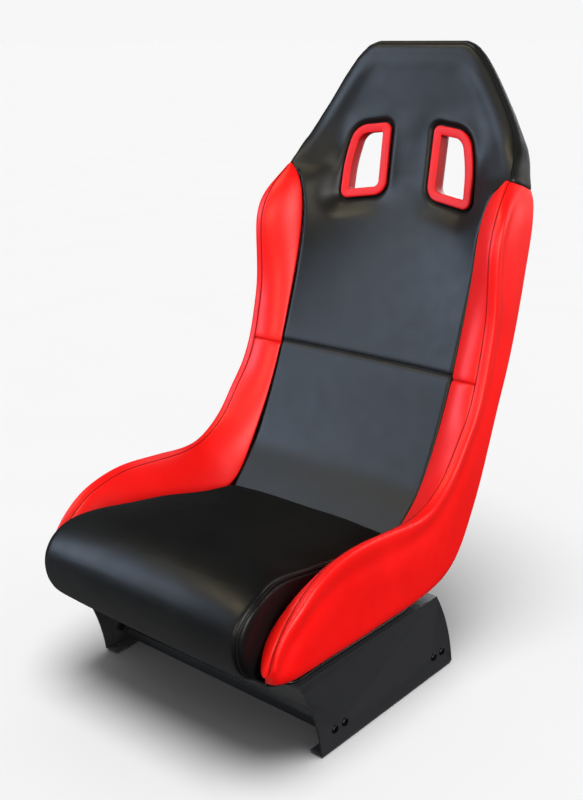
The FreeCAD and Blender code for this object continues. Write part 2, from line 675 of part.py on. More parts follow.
def make_head_pad():
    """Head part of the back: dished between its rims, sloping in to a rounded top."""
    body = new_body("head_pad")
    back_sections(body, "Dims.head_half", curve("rim"), curve("face"), "chest", "crown")
    cut_through(body, new_sketch(body, "outline", "XZ_Plane", None, head_cut(0, 0)))
    sketch = new_sketch(body, "neck", "YZ_Plane")
    rectangle(sketch, "0", "Dims.far", "0", "Dims.neck + Dims.gap")
    cut_through(body, sketch)
    for name, sign in SIDES:
        notch = new_sketch(body, "%s_notch" % name, "XZ_Plane")
        edges = ["Dims.panel_half - Dims.gap", "Dims.head_half + Dims.margin"]
        if sign < 0:
            edges = ["-(%s)" % edges[1], "-(%s)" % edges[0]]
        rectangle(notch, *edges, "Dims.neck - Dims.margin", "Dims.shoulder + Dims.gap")
        cut_through(body, notch)
    cut_slots(body, dim("slot_rim") - dim("slot_wall") - dim("gap"))
    for name, sign in SIDES:
        seat = slot_sketch(body, "%s_seat" % name, sign, [-dim("gap")])
        cut_deep(body, seat, "Dims.tunnel_long", reverse=True)


def make_bezel(name, sign):
    """Front bezel: a flange round the slot and the tunnel that goes through the back."""
    body = new_body("%s_slot_bezel" % name)
    rim, wall = dim("slot_rim"), dim("slot_wall")
    pad(body, slot_sketch(body, "flange", sign, [0, rim]), "Dims.slot_flange")
    tunnel = slot_sketch(body, "tunnel", sign, [rim - wall, rim])
    pad(body, tunnel, "Dims.tunnel_long + Dims.ring_flange", reverse=True)


def make_ring(name, sign):
    """Rear ring that snaps over the tunnel's end behind the shell."""
    body = new_body("%s_slot_ring" % name)
    bore = dim("slot_rim") - dim("slot_wall") - dim("gap")
    sketch = slot_sketch(body, "ring", sign, [dim("ring_rim") - dim("slot_wall"), bore], dim("tunnel_long"))
    pad(body, sketch, "Dims.ring_flange", reverse=True)


def strip_levels():
    """The heights where the fastening strips, the board and the cushion start."""
    hook = "Dims.base_top + Dims.laminate"
    loop = "%s + Dims.strip + Dims.gap" % hook
    board = "%s + Dims.strip" % loop
    return hook, loop, board, "%s + Dims.base_board" % board


def make_cushion():
    """Seat cushion: rounded nose, level bottom, narrower towards the back."""
    body = new_body("seat_cushion")
    low = SHEET.evalExpression(strip_levels()[3].replace("Dims.", ""))
    over = curve("cushion")
    front, back = (dim("board_front"), low), (over[0][0], low)
    outline = [spline(over), line(over[-1], front), line(front, back), line(back, over[0])]
    sketch = new_sketch(body, "outline", "YZ_Plane", None, outline)
    pad(body, sketch, "2 * Dims.cushion_half", midplane=True)
    for name, sign in SIDES:
        far, rear = sign * dim("far"), dim("cushion_back") + dim("gap")
        corners = [(sign * dim("cushion_half"), dim("cushion_taper")), (far, dim("cushion_taper")),
                   (far, rear), (sign * dim("cushion_back_half"), rear)]
        cut_through(body, new_sketch(body, "%s_taper" % name, "XY_Plane", None, polygon(corners)))


def make_cushion_board():
    """Plywood base under the cushion."""
    body = new_body("cushion_board")
    sketch = new_sketch(body, "board", "XY_Plane", strip_levels()[2])
    rectangle(sketch, "-Dims.board_half", "Dims.board_half", "Dims.board_front", "Dims.board_rear")
    pad(body, sketch, "Dims.base_board")


def make_strips(label, level):
    """A pair of fastening strips, on the shell's floor or under the cushion's board."""
    body = new_body(label, several=True)
    sketch = new_sketch(body, "strips", "XY_Plane", level)
    for side in ("-", "+"):
        edges = ["%sDims.strip_half %s Dims.strip_wide / 2" % (side, step) for step in ("-", "+")]
        rectangle(sketch, *edges, "Dims.strip_front", "Dims.strip_rear")
    pad(body, sketch, "Dims.strip")


def build():
    """Makes every sub-part."""
    fill_sheet()
    for place in ("front", "rear"):
        make_crossbar(place)
    for name, sign in SIDES:
        make_bracket(name, sign)
        make_crossbar_bolts(name, sign)
        make_crossbar_nuts(name, sign)
        make_outer_side(name, sign)
        make_torso_bolster(name, sign)
        make_thigh_bolster(name, sign)
        make_bezel(name, sign)
        make_ring(name, sign)
    make_seat_bolts()
    make_seat_washers()
    make_shell_inserts()
    make_feet()
    make_shell()
    make_back_pad("lower_back_pad", None, "Dims.back_seam")
    make_back_pad("upper_back_pad", "Dims.back_seam + Dims.gap", "Dims.neck")
    make_head_pad()
    make_cushion()
    make_cushion_board()
    make_strips("hook_strips", strip_levels()[0])
    make_strips("loop_strips", strip_levels()[1])


def export():
    """Checks every object, then writes one file for each sub-part."""
    DOC.recompute()
    for item in DOC.Objects:
        if "Invalid" in item.State or "Error" in item.State:
            raise ValueError("%s is in state %s" % (item.Name, item.State))
    parts = [item for item in DOC.Objects if item.TypeId == "PartDesign::Body"]
    for part in parts:
        if part.Shape.isNull() or not part.Shape.isValid() or not part.Shape.Solids:
            raise ValueError("%s has no valid shape" % part.Label)
    os.makedirs("parts", exist_ok=True)
    for part in parts:
        part.Shape.exportStep("parts/%s.step" % part.Label)


build()
export()
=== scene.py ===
"""Looks of the racing bucket seat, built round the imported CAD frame. Metres, +Z up, the sitter faces -Y."""

import math

import bmesh
import bpy
import numpy as np
from mathutils import Matrix, Vector
from mathutils.bvhtree import BVHTree


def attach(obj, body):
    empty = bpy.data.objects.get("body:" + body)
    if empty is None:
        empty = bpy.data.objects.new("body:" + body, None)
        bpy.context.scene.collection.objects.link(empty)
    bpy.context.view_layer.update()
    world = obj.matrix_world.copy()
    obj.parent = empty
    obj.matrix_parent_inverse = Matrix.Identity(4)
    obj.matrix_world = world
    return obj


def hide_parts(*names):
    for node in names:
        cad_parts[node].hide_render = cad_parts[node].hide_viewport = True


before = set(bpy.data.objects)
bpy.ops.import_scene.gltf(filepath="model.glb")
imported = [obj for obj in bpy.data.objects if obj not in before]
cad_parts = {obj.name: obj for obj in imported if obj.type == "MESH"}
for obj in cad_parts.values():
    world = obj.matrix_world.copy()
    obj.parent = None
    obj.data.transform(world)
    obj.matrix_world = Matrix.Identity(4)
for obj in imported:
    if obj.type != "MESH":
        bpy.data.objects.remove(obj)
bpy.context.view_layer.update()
SIDES = (("left", 1), ("right", -1))
MM = 0.001
TINY = 1e-9
FAR = 1e9
WELD = 0.02 * MM


# ---------- curves and meshes

def knots(points):
    """Distances along a row of points, from 0 to 1."""
    steps = np.linalg.norm(np.diff(points, axis=0), axis=1)
    along = np.concatenate([[0], np.cumsum(steps)])
    return along / along[-1]


def cubic(at, values, where):
    """Natural cubic spline through values at the knots, read at other places."""
    at, values, where = (np.asarray(item, float) for item in (at, values, where))
    flat = values.reshape(len(at), -1)
    gap = np.diff(at)
    system = np.eye(len(at))
    right = np.zeros_like(flat)
    for i in range(1, len(at) - 1):
        system[i, i - 1:i + 2] = gap[i - 1], 2 * (gap[i - 1] + gap[i]), gap[i]
        right[i] = 6 * ((flat[i + 1] - flat[i]) / gap[i] - (flat[i] - flat[i - 1]) / gap[i - 1])
    bend = np.linalg.solve(system, right)
    place = np.clip(np.searchsorted(at, where) - 1, 0, len(gap) - 1)
    h = gap[place][:, None]
    a = (at[place + 1] - where)[:, None] / h
    b = 1 - a
    found = (a * flat[place] + b * flat[place + 1]
             + ((a ** 3 - a) * bend[place] + (b ** 3 - b) * bend[place + 1]) * h ** 2 / 6)
    return found.reshape((len(where),) + values.shape[1:])


def spread(low, high, coarse, dense):
    """Places from low to high, coarse apart, with finer ones near each (place, reach, step)."""
    places = [low]
    while places[-1] < high:
        step = coarse
        for place, reach, fine in dense:
            away = abs(places[-1] - place)
            ease = min(max(away / reach - 1, 0), 1)
            step = min(step, fine + (coarse - fine) * ease)
        places.append(places[-1] + step)
    places = np.array(places)
    return low + (places - low) * (high - low) / (places[-1] - low)


def bump(away, width):
    """A smooth hill of height 1 that is gone a few widths away."""
    return np.exp(-(away / width) ** 2)


def ease(value, low, high):
    """0 below low, 1 above high, smooth between."""
    t = np.clip((value - low) / (high - low), 0, 1)
    return t * t * (3 - 2 * t)


def round_over(away, radius):
    """How far a quarter round has fallen at this distance from its edge, in radii."""
    t = np.clip(1 - away / radius, 0, 1)
    return 1 - np.sqrt(1 - t * t)


def grid_faces(rows, columns, closed=False):
    """Quads between neighbouring rows and columns of a grid of points."""
    faces = []
    for i in range(rows - 1):
        for j in range(columns if closed else columns - 1):
            k = (j + 1) % columns
            faces.append((i * columns + j, i * columns + k, (i + 1) * columns + k, (i + 1) * columns + j))
    return faces


def ring_faces(rings, around):
    """Quads of a tube of closed rings, with a face over each end."""
    faces = grid_faces(rings, around, closed=True)
    faces.append(tuple(range(around)))
    faces.append(tuple(range((rings - 1) * around, rings * around)))
    return faces


def unit_rows(rows):
    """Each row scaled to length 1."""
    return rows / np.maximum(np.linalg.norm(rows, axis=1), TINY)[:, None]


def smooth_faces(mesh):
    """Shades every face of a mesh smooth."""
    mesh.polygons.foreach_set("use_smooth", [True] * len(mesh.polygons))


def make_piece(name, points, faces, material):
    """A new smooth mesh object in the scene, cleaned, with one material."""
    mesh = bpy.data.meshes.new(name)
    mesh.from_pydata([tuple(p) for p in np.asarray(points, float)], [], faces)
    mesh.validate()
    piece = bpy.data.objects.new(name, mesh)
    bpy.context.scene.collection.objects.link(piece)
    mesh.materials.append(material)
    clean(piece)
    smooth_faces(mesh)
    return piece


def clean(piece):
    """Joins doubled points and turns every face outwards."""
    work = bmesh.new()
    work.from_mesh(piece.data)
    bmesh.ops.remove_doubles(work, verts=work.verts, dist=WELD)
    loose = [v for v in work.verts if not v.link_faces]
    bmesh.ops.delete(work, geom=loose, context="VERTS")
    bmesh.ops.recalc_face_normals(work, faces=work.faces)
    work.to_mesh(piece.data)
    work.free()


def apply_modifiers(piece):
    """Replaces the piece's mesh with its modified one."""
    graph = bpy.context.evaluated_depsgraph_get()
    made = bpy.data.meshes.new_from_object(piece.evaluated_get(graph))
    piece.modifiers.clear()
    piece.data = made
    smooth_faces(made)


def settle(piece, body, slot, *stands_for):
    """Puts a finished piece on its body, and hides the CAD nodes that it stands for. Its slot is not used."""
    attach(piece, body)
    if stands_for:
        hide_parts(*stands_for)


# ---------- materials

# Texture scales below count the features in a metre, and bump heights are in metres.
NOISE = "ShaderNodeTexNoise"
WEAR_SPAN = 0.12


def set_inputs(node, **values):
    """Sets a node's inputs by name, with _ for a space."""
    for socket, value in values.items():
        node.inputs[socket.replace("_", " ")].default_value = value


def grey(value):
    """A neutral colour."""
    return (value, value, value)


class Paint:
    """A new material, built up in procedural layers on its Principled shader."""

    def __init__(self, name, color, roughness, **extras):
        self.material = bpy.data.materials.new(name)
        self.material.use_nodes = True
        self.nodes, self.links = self.material.node_tree.nodes, self.material.node_tree.links
        self.principled = next(n for n in self.nodes if n.type == "BSDF_PRINCIPLED")
        set_inputs(self.principled, Base_Color=(*color, 1), Roughness=roughness, **extras)
        self.where = self.nodes.new("ShaderNodeTexCoord")

    def texture(self, kind, scale, output="Fac", **settings):
        """An output of a procedural texture in the object's own coordinates."""
        node = self.nodes.new(kind)
        self.links.new(self.where.outputs["Object"], node.inputs["Vector"])
        set_inputs(node, Scale=scale, **settings)
        return node.outputs[output]

    def tint(self, source, low, high, start=0.3, end=0.7):
        """Colours the shader between two tones, by a texture."""
        node = self.nodes.new("ShaderNodeValToRGB")
        self.links.new(source, node.inputs["Fac"])
        stops = node.color_ramp.elements
        stops[0].position, stops[1].position = start, end
        stops[0].color = (*low, 1)
        stops[1].color = (*high, 1)
        self.links.new(node.outputs["Color"], self.principled.inputs["Base Color"])

    def vary_roughness(self, source, low, high):
        """Roughness between two values, by a texture."""
        node = self.nodes.new("ShaderNodeMapRange")
        self.links.new(source, node.inputs["Value"])
        set_inputs(node, To_Min=low, To_Max=high)
        self.links.new(node.outputs["Result"], self.principled.inputs["Roughness"])

    def add_bump(self, height, distance, strength=1.0):
        """One more layer of bump, over any that the shader already has."""
        node = self.nodes.new("ShaderNodeBump")
        set_inputs(node, Distance=distance, Strength=strength)
        self.links.new(height, node.inputs["Height"])
        before = self.principled.inputs["Normal"]
        if before.is_linked:
            self.links.new(before.links[0].from_socket, node.inputs["Normal"])
        self.links.new(node.outputs["Normal"], before)

    def wear_and_slant(self, wear, roughness):
        """Roughness that varies with wear, and rises where the surface is seen at a slant."""
        slant = self.nodes.new("ShaderNodeLayerWeight")
        set_inputs(slant, Blend=0.5)
        dull = self.nodes.new("ShaderNodeMapRange")
        self.links.new(slant.outputs["Facing"], dull.inputs["Value"])
        set_inputs(dull, From_Min=0.35, From_Max=0.9, To_Max=0.35)
        worn = self.nodes.new("ShaderNodeMath")
        worn.operation = "MULTIPLY_ADD"
        self.links.new(wear, worn.inputs[0])
        worn.inputs[1].default_value = WEAR_SPAN
        worn.inputs[2].default_value = roughness - WEAR_SPAN / 2
        total = self.nodes.new("ShaderNodeMath")
        self.links.new(worn.outputs[0], total.inputs[0])
        self.links.new(dull.outputs["Result"], total.inputs[1])
        self.links.new(total.outputs[0], self.principled.inputs["Roughness"])


def leather(name, dark, light, roughness, gloss):
    """Smooth coated leather: fine pebble grain, soft pores, faint clouding of tone and gloss."""
    paint = Paint(name, light, roughness, Specular_IOR_Level=gloss)
    cloud = paint.texture(NOISE, 9, Detail=3)
    paint.tint(cloud, dark, light)
    wear = paint.texture(NOISE, 38, Detail=5)
    paint.wear_and_slant(wear, roughness)
    pebble = paint.texture("ShaderNodeTexVoronoi", 850, "Distance")
    paint.add_bump(pebble, 0.00012, 0.28)
    creases = paint.texture(NOISE, 420, Detail=4)
    paint.add_bump(creases, 0.00015, 0.22)
    swell = paint.texture(NOISE, 22, Detail=2)
    paint.add_bump(swell, 0.0012, 0.12)
    return paint.material


def moulded_plastic(name, color, roughness):
    """Satin moulded plastic with a faint spark-eroded texture."""
    dark = tuple(0.86 * c for c in color)
    paint = Paint(name, color, roughness, Specular_IOR_Level=0.3)
    cloud = paint.texture(NOISE, 26, Detail=3)
    paint.tint(cloud, dark, color)
    paint.vary_roughness(cloud, roughness - 0.05, roughness + 0.06)
    grain = paint.texture(NOISE, 1500, Detail=2)
    paint.add_bump(grain, 0.00008, 0.3)
    return paint.material


def powder_coat(name, color):
    """Satin powder coat: fine orange peel, and edges rubbed a little lighter."""
    paint = Paint(name, color, 0.42, Specular_IOR_Level=0.36)
    edge = paint.nodes.new("ShaderNodeNewGeometry")
    worn = tuple(2.6 * c + 0.01 for c in color)
    paint.tint(edge.outputs["Pointiness"], color, worn, 0.52, 0.62)
    dust = paint.texture(NOISE, 30, Detail=5)
    paint.vary_roughness(dust, 0.36, 0.52)
    peel = paint.texture(NOISE, 700, Detail=2)
    paint.add_bump(peel, 0.0002, 0.25)
    return paint.material


def bare_metal(name, color, roughness):
    """Plated or oxidised steel with fine turning marks."""
    paint = Paint(name, color, roughness, Metallic=1.0)
    marks = paint.texture(NOISE, 600, Detail=4)
    paint.vary_roughness(marks, roughness - 0.08, roughness + 0.12)
    paint.add_bump(marks, 0.00006, 0.4)
    return paint.material


def rubber(name):
    """Matt black rubber with a faint grey bloom."""
    paint = Paint(name, (0.016, 0.016, 0.017), 0.78)
    bloom = paint.texture(NOISE, 60, Detail=5)
    paint.tint(bloom, (0.012, 0.012, 0.013), (0.03, 0.03, 0.032))
    paint.add_bump(bloom, 0.0003, 0.3)
    return paint.material


def plywood(name):
    """Birch plywood with long rings."""
    paint = Paint(name, (0.5, 0.35, 0.2), 0.6)
    rings = paint.texture("ShaderNodeTexWave", 14, Distortion=7, Detail=3)
    paint.tint(rings, (0.36, 0.23, 0.12), (0.6, 0.44, 0.27), 0.1, 0.9)
    paint.add_bump(rings, 0.0002, 0.3)
    return paint.material


def hook_tape(name):
    """Black hook-and-loop tape with a fine pile."""
    paint = Paint(name, grey(0.02), 0.95, Sheen_Weight=0.4)
    loops = paint.texture("ShaderNodeTexVoronoi", 1100, "Distance")
    paint.tint(loops, grey(0.012), grey(0.05))
    paint.add_bump(loops, 0.0006, 0.8)
    return paint.material


BLACK_LEATHER = leather("black_leather", (0.0035, 0.0037, 0.0042), (0.006, 0.0063, 0.0072), 0.42, 0.3)
# The cushion's copy of the black leather has less gloss and a darker base; the darker base is painted shade
# for its dimmer top.
CUSHION_SHADED_LEATHER = leather("cushion_leather_painted_shade", (0.0028, 0.003, 0.0034), (0.005, 0.0052, 0.0058), 0.39, 0.2)
RED_LEATHER = leather("red_leather", (0.74, 0.003, 0.0025), (0.86, 0.005, 0.004), 0.43, 0.32)
# The seam threads are darker than their leather: painted shade of the groove that each seam sinks into.
SEAM_BLACK_SHADE = leather("black_seam_painted_shade", grey(0.001), grey(0.0015), 0.7, 0.15)
SEAM_RED_SHADE = leather("red_seam_painted_shade", (0.26, 0.001, 0.001), (0.36, 0.002, 0.002), 0.65, 0.2)
RED_PLASTIC = moulded_plastic("red_plastic", (0.72, 0.006, 0.010), 0.5)
# The same red plastic made darker for the faces inside the slot tunnels: painted shade.
SHADED_PLASTIC = moulded_plastic("tunnel_painted_shade_plastic", (0.36, 0.003, 0.005), 0.55)
SHELL_BLACK = moulded_plastic("shell_gelcoat", (0.008, 0.008, 0.009), 0.3)
POWDER_COAT = powder_coat("black_powder_coat", (0.0062, 0.0066, 0.0082))
BLACK_STEEL = bare_metal("black_oxide", (0.03, 0.03, 0.032), 0.42)
ZINC = bare_metal("zinc_plate", (0.3, 0.3, 0.31), 0.4)
RUBBER = rubber("black_rubber")
PLYWOOD = plywood("birch_board")
TAPE = hook_tape("fastening_tape")


# ---------- the seat's lines

# Lists of places are written in millimetres and turned to metres by MM. Single sizes are in metres.

# The side, from the front tip to the shoulder: crest seam, inner edge and outer edge, each (x, y, z).
CREST = np.array([(246, -293, 194), (247, -285, 226), (248, -270, 252), (248, -241, 281), (249, -202, 308),
                  (249, -160, 323), (250, -110, 330), (250, -55, 328), (250, 0, 324), (250, 50, 325),
                  (250, 85, 333), (250, 117, 350), (250, 149, 377), (250, 181, 418), (249, 208, 454),
                  (248, 231, 506), (248, 244, 556), (248, 253, 604), (248, 255, 650), (248, 254, 694),
                  (248, 257, 735), (247, 268, 765), (244, 288, 794), (237, 327, 829)]) * MM
INNER = np.array([(232, -287, 188), (222, -276, 205), (216, -262, 222), (214, -240, 236), (213, -205, 246),
                  (212, -165, 250), (210, -115, 250), (207, -62, 249), (203, -12, 248), (198, 32, 247),
                  (192, 72, 250), (188, 104, 264), (190, 132, 290), (193, 172, 346), (193, 210, 416),
                  (193, 246, 502), (193, 264, 556), (193, 279, 604), (193, 293, 652), (193, 303, 694),
                  (194, 311, 738), (198, 316, 768), (207, 321, 799), (231, 328, 827)]) * MM
OUTER = np.array([(240, -287, 181), (240, -279, 174), (240, -266, 169), (240, -244, 167), (240, -205, 167),
                  (240, -165, 167), (240, -112, 167), (240, -58, 167), (240, 5, 167), (240, 62, 168),
                  (240, 112, 173), (240, 152, 186), (240, 184, 213), (240, 214, 262), (240, 245, 320),
                  (240, 293, 434), (240, 322, 504), (240, 344, 570), (240, 361, 634), (240, 373, 686),
                  (240, 384, 738), (239, 388, 766), (237, 390, 788), (234, 391, 806)]) * MM

# The back's front face: level, half width, and depth at the middle and at the edge.
BACK = np.array([(236, 186, 86, 82), (262, 188, 110, 106), (293, 190, 139, 135), (324, 193, 167, 163),
                 (354, 193, 185, 181), (384, 193, 201, 196), (414, 193, 215, 210), (444, 193, 228, 223),
                 (474, 193, 241, 235), (504, 193, 254, 246), (534, 193, 267, 257), (564, 193, 279, 267),
                 (624, 193, 304, 286), (684, 193, 328, 302), (744, 194, 354, 312), (774, 200, 366, 317),
                 (800, 208, 374, 321), (815, 219, 378, 325), (829, 236, 380, 330), (836, 235, 381, 335),
                 (844, 232, 382, 341), (860, 228, 384, 353), (874, 222, 386, 363), (904, 208, 388, 378),
                 (934, 190, 391, 386), (964, 171, 393, 391), (994, 151, 395, 395), (1010, 139, 396, 396),
                 (1023, 128, 397, 397), (1034, 116, 399, 399), (1041, 105, 400, 400),
                 (1046, 91, 402, 402)]) * MM

# The shell's outer face, from the front lip to the top of the head: (y, z).
SHELL = np.array([(-284, 172), (-262, 161), (-236, 154.6), (-180, 154.2), (-80, 154.2), (20, 154.2),
                  (72, 155), (100, 157.5), (130, 164.5), (176, 195), (222, 262), (270, 358), (311, 458),
                  (348, 558), (378, 658), (397, 750), (409, 830), (418, 900), (425.5, 980), (428, 1037)]) * MM

SEAM_LEVEL = 0.504
SHOULDER = 0.829
HEAD_CORNER = 1.036
SLOT_MID, SLOT_LEVEL, SLOT_FACE = 0.091, 0.838, 0.376
SLOT_LEAN, SLOT_TOE = math.radians(8.5), math.radians(4.5)
# The slot's corners in its own plane, from the inner top down and round: (across, up, radius).
SLOT_CORNERS = ((-0.0445, 0.0715, 0.012), (-0.0445, -0.0585, 0.028), (0.0525, -0.0725, 0.014),
                (0.0485, 0.000, 0.250), (0.031, 0.063, 0.040))

# A side's outer panel: distance behind the crest seam, how far it stands out, and how far it rolls forward.
ROLL = np.array([(0, 0, 0), (1.2, 2.8, 1.6), (4, 9.0, 4.4), (7, 13.4, 5.8), (11, 16.8, 5.4),
                 (16, 16.8, 3.2), (22, 14.4, 1.0), (28, 12.6, 0), (36, 12.5, 0), (50, 14.4, 0),
                 (90, 15.0, 0), (200, 15.0, 0)]) * MM

# The simple round of the outer panel at the shoulder: how far it stands out, and within what distance.
PLAIN_STAND, PLAIN_REACH = 0.013, 0.024


def outer_roll(from_crest, plain):
    """How far an outer panel stands out beyond its crest and rolls forward: a bead, a valley, a belly.

    Plain runs from 0 to 1, where 1 is the shoulder's simple round with no bead and no valley.
    """
    out, ahead = cubic(ROLL[:, 0], ROLL[:, 1:], from_crest).T
    simple = PLAIN_STAND * np.sqrt(np.clip(from_crest / PLAIN_REACH, 0, 1))
    return out + (simple - out) * plain, ahead * (1 - plain)


# How far a turn round the rear edge reaches, in radii.
TURN_REACH = 1.2


def rear_turn(from_rear, radius):
    """How far a panel turns in where it goes round the rear edge."""
    return radius * round_over(from_rear, TURN_REACH * radius)


# A thread that runs along X by more than this share takes its section's guide from Z, not from X.
NEARLY_ALONG_X = 0.8


def make_seam(name, path, radius, material, slot, body="seat", sides=8):
    """A sewn line: a fine round thread laid along a path."""
    ahead = unit_rows(np.gradient(path, axis=0))
    guide = np.where(np.abs(ahead[:, :1]) < NEARLY_ALONG_X, np.array([[1.0, 0, 0]]), np.array([[0, 0, 1.0]]))
    first = unit_rows(np.cross(ahead, guide))
    second = np.cross(ahead, first)
    angles = np.arange(sides) * 2 * math.pi / sides
    rings = [path[i] + radius * (np.cos(angles)[:, None] * first[i] + np.sin(angles)[:, None] * second[i])
             for i in range(len(path))]
    seam = make_piece(name, np.vstack(rings), ring_faces(len(path), sides), material)
    settle(seam, body, slot)


# ---------- red side covers

GROOVE = 0.0016
# The cross seam's stitched line and the dip round it: (depth, width).
CROSS_SEAM = ((0.0026, 0.0015), (0.0016, 0.006))
# How far the closed sections tuck in behind the outer edge, and behind the inner one sideways and back.
OUTER_TUCK, INNER_TUCK, INNER_TUCK_BACK = 0.006, 0.012, 0.010
PANEL_SWELL, PANEL_SWELL_SHOULDER = 0.0085, 0.0045
TIP_ROUND, TIP_LEAST = 0.016, 0.06
END_ROUND, END_SHRINK = 0.004, 0.0035
REAR_RADIUS, REAR_RADIUS_SHOULDER = 0.022, 0.015
RED_THREAD, BLACK_THREAD = 0.0007, 0.0011


def side_columns():
    """Where the ring of a side's section has its points: inner panel, then outer panel."""
    inner = spread(0, 1, 0.06, [(0, 0.06, 0.012), (1, 0.12, 0.02)])[::-1]
    outer = spread(0, 1, 0.05, [(0, 0.05, 0.006), (1, 0.12, 0.02)])
    return inner, outer


def side_section(crest, inner_edge, outer_edge, along, seam_away, plain, columns):
    """One closed ring round a side, from the inner edge over the crest to the outer edge and back."""
    inner, outer = columns
    across = inner_edge - crest
    width = np.linalg.norm(across)
    face = np.cross(along, across / width)
    face = face / np.linalg.norm(face)
    if face[0] > 0:
        face = -face
    back = outer_edge - crest
    depth = np.linalg.norm(back[1:])
    groove = (GROOVE * bump(inner * width, GROOVE))[:, None]
    swell = (PANEL_SWELL + (PANEL_SWELL_SHOULDER - PANEL_SWELL) * plain) * np.sin(np.pi * inner) ** 0.7
    cross_seam = sum(deep * bump(seam_away, wide) for deep, wide in CROSS_SEAM)
    front = crest + inner[:, None] * across + face * (swell - cross_seam)[:, None]
    front = front + (face * -0.5 - np.array([0.5, 0, 0])) * groove
    from_crest, from_rear = outer * depth, (1 - outer) * depth
    out, ahead = outer_roll(from_crest, plain)
    out = out * (1 - 0.4 * ease(-crest[1], 0.23, 0.28))
    lift = 1 + 1.2 * ease(-crest[1], -0.09, 0.02)
    rearwards = np.array([0, back[1], back[2]])
    side = crest + outer[:, None] * rearwards
    side -= (lift * ahead / depth)[:, None] * rearwards
    rear_radius = REAR_RADIUS + (REAR_RADIUS_SHOULDER - REAR_RADIUS) * plain
    side[:, 0] = crest[0] + out - rear_turn(from_rear, rear_radius)
    tuck = [outer_edge + np.array([-OUTER_TUCK, 0, 0]) - OUTER_TUCK * back / depth,
            inner_edge + np.array([INNER_TUCK, INNER_TUCK_BACK * along[2], -INNER_TUCK_BACK * along[1]])]
    return np.vstack([front, side[1:], tuck])


# The step out of 400 along the crest from which it only climbs or nearly so.
CLIMB_START = 120


def side_places():
    """Where the side's sections lie, from the tip at 0 to the shoulder at 1, and where its cross seam is."""
    rising = np.linspace(0, 1, 400)[CLIMB_START:]
    level = cubic(knots(CREST), CREST, rising)[:, 2]
    seam_at = np.interp(SEAM_LEVEL, level, rising)
    return spread(0, 1, 0.008, [(0, 0.02, 0.001), (seam_at, 0.012, 0.0009), (1, 0.012, 0.0012)]), seam_at


def side_rings(places, seam_at, columns):
    """The side's closed sections, rounded off at the tip and drawn in at the shoulder."""
    at = knots(CREST)
    length = np.linalg.norm(np.diff(CREST, axis=0), axis=1).sum()
    crest, inner, outer = (cubic(at, line, places) for line in (CREST, INNER, OUTER))
    along = unit_rows(np.gradient(crest, places, axis=0))
    rings = []
    for i, place in enumerate(places):
        plain = ease(place, 0.90, 0.985)
        seam_away = (place - seam_at) * length
        ring = side_section(crest[i], inner[i], outer[i], along[i], seam_away, plain, columns)
        middle = ring.mean(axis=0)
        tip = 1 - (1 - TIP_LEAST) * round_over(place * length, TIP_ROUND)
        ring = middle + (ring - middle) * tip
        shrink = END_SHRINK * round_over((1 - place) * length, END_ROUND)
        rings.append(ring - unit_rows(ring - middle) * shrink)
    return crest, rings


def make_side_cover(name, sign):
    """One side's red cover: inner and outer panels sewn along the crest, closed all round."""
    places, seam_at = side_places()
    columns = side_columns()
    crest, rings = side_rings(places, seam_at, columns)
    turn = len(columns[0]) - 1
    nearest = np.argmin(np.abs(places - seam_at))
    mirror = np.array([sign, 1, 1])
    # The crest, cross and shoulder threads are darker red and black to stand for the shade in their seam
    # grooves.
    make_seam("%s_crest_seam" % name, crest[4:-2] * mirror, RED_THREAD, SEAM_RED_SHADE, "red_leather")
    make_seam("%s_cross_seam" % name, rings[nearest][1:turn] * mirror, RED_THREAD, SEAM_RED_SHADE, "red_leather")
    shoulder = (rings[-1][1:-4] + np.array([0, 0, 0.001])) * mirror
    make_seam("%s_shoulder_seam" % name, shoulder, BLACK_THREAD, SEAM_BLACK_SHADE, "black_leather")
    cover = make_piece("%s_side_cover" % name, np.vstack(rings) * mirror,
                       ring_faces(len(rings), len(rings[0])), RED_LEATHER)
    settle(cover, "seat", "red_leather", "%s_outer_side" % name, "%s_torso_bolster" % name,
           "%s_thigh_bolster" % name)
    cover.visible_diffuse = False
    cover.visible_glossy = sign > 0


# ---------- harness slots

LEAST_RADIUS = 0.0035


def rounded_corners(inset):
    """The slot's outline moved inwards: for each corner its arc's centre, radius and two angles."""
    corners = [np.array(c[:2]) for c in SLOT_CORNERS]
    count = len(corners)
    edges = [corners[(i + 1) % count] - corners[i] for i in range(count)]
    edges = [e / np.linalg.norm(e) for e in edges]
    arcs = []
    for i, corner in enumerate(corners):
        before, after = edges[i - 1], edges[i]
        left_before = np.array([-before[1], before[0]])
        left_after = np.array([-after[1], after[0]])
        radius = max(SLOT_CORNERS[i][2] - inset, LEAST_RADIUS)
        miter = (left_before + left_after) / (1 + left_before @ left_after)
        centre = corner + miter * (inset + radius)
        arcs.append((centre, radius, -left_before, -left_after))
    return arcs


def slot_loop(inset, sign, arc_steps=12, line_steps=10):
    """Points round the slot's outline, the same number at every inset."""
    arcs = rounded_corners(inset)
    points = []
    for i, (centre, radius, start, end) in enumerate(arcs):
        turn = math.acos(np.clip(start @ end, -1, 1))
        for k in range(arc_steps):
            t = k / (arc_steps - 1)
            aim = (start * math.sin((1 - t) * turn) + end * math.sin(t * turn)) / math.sin(turn)
            points.append(centre + aim * radius)
        following = arcs[(i + 1) % len(arcs)]
        first, last = points[-1], following[0] + following[2] * following[1]
        points += [first + (last - first) * k / line_steps for k in range(1, line_steps)]
    return np.array(points) * np.array([sign, 1])


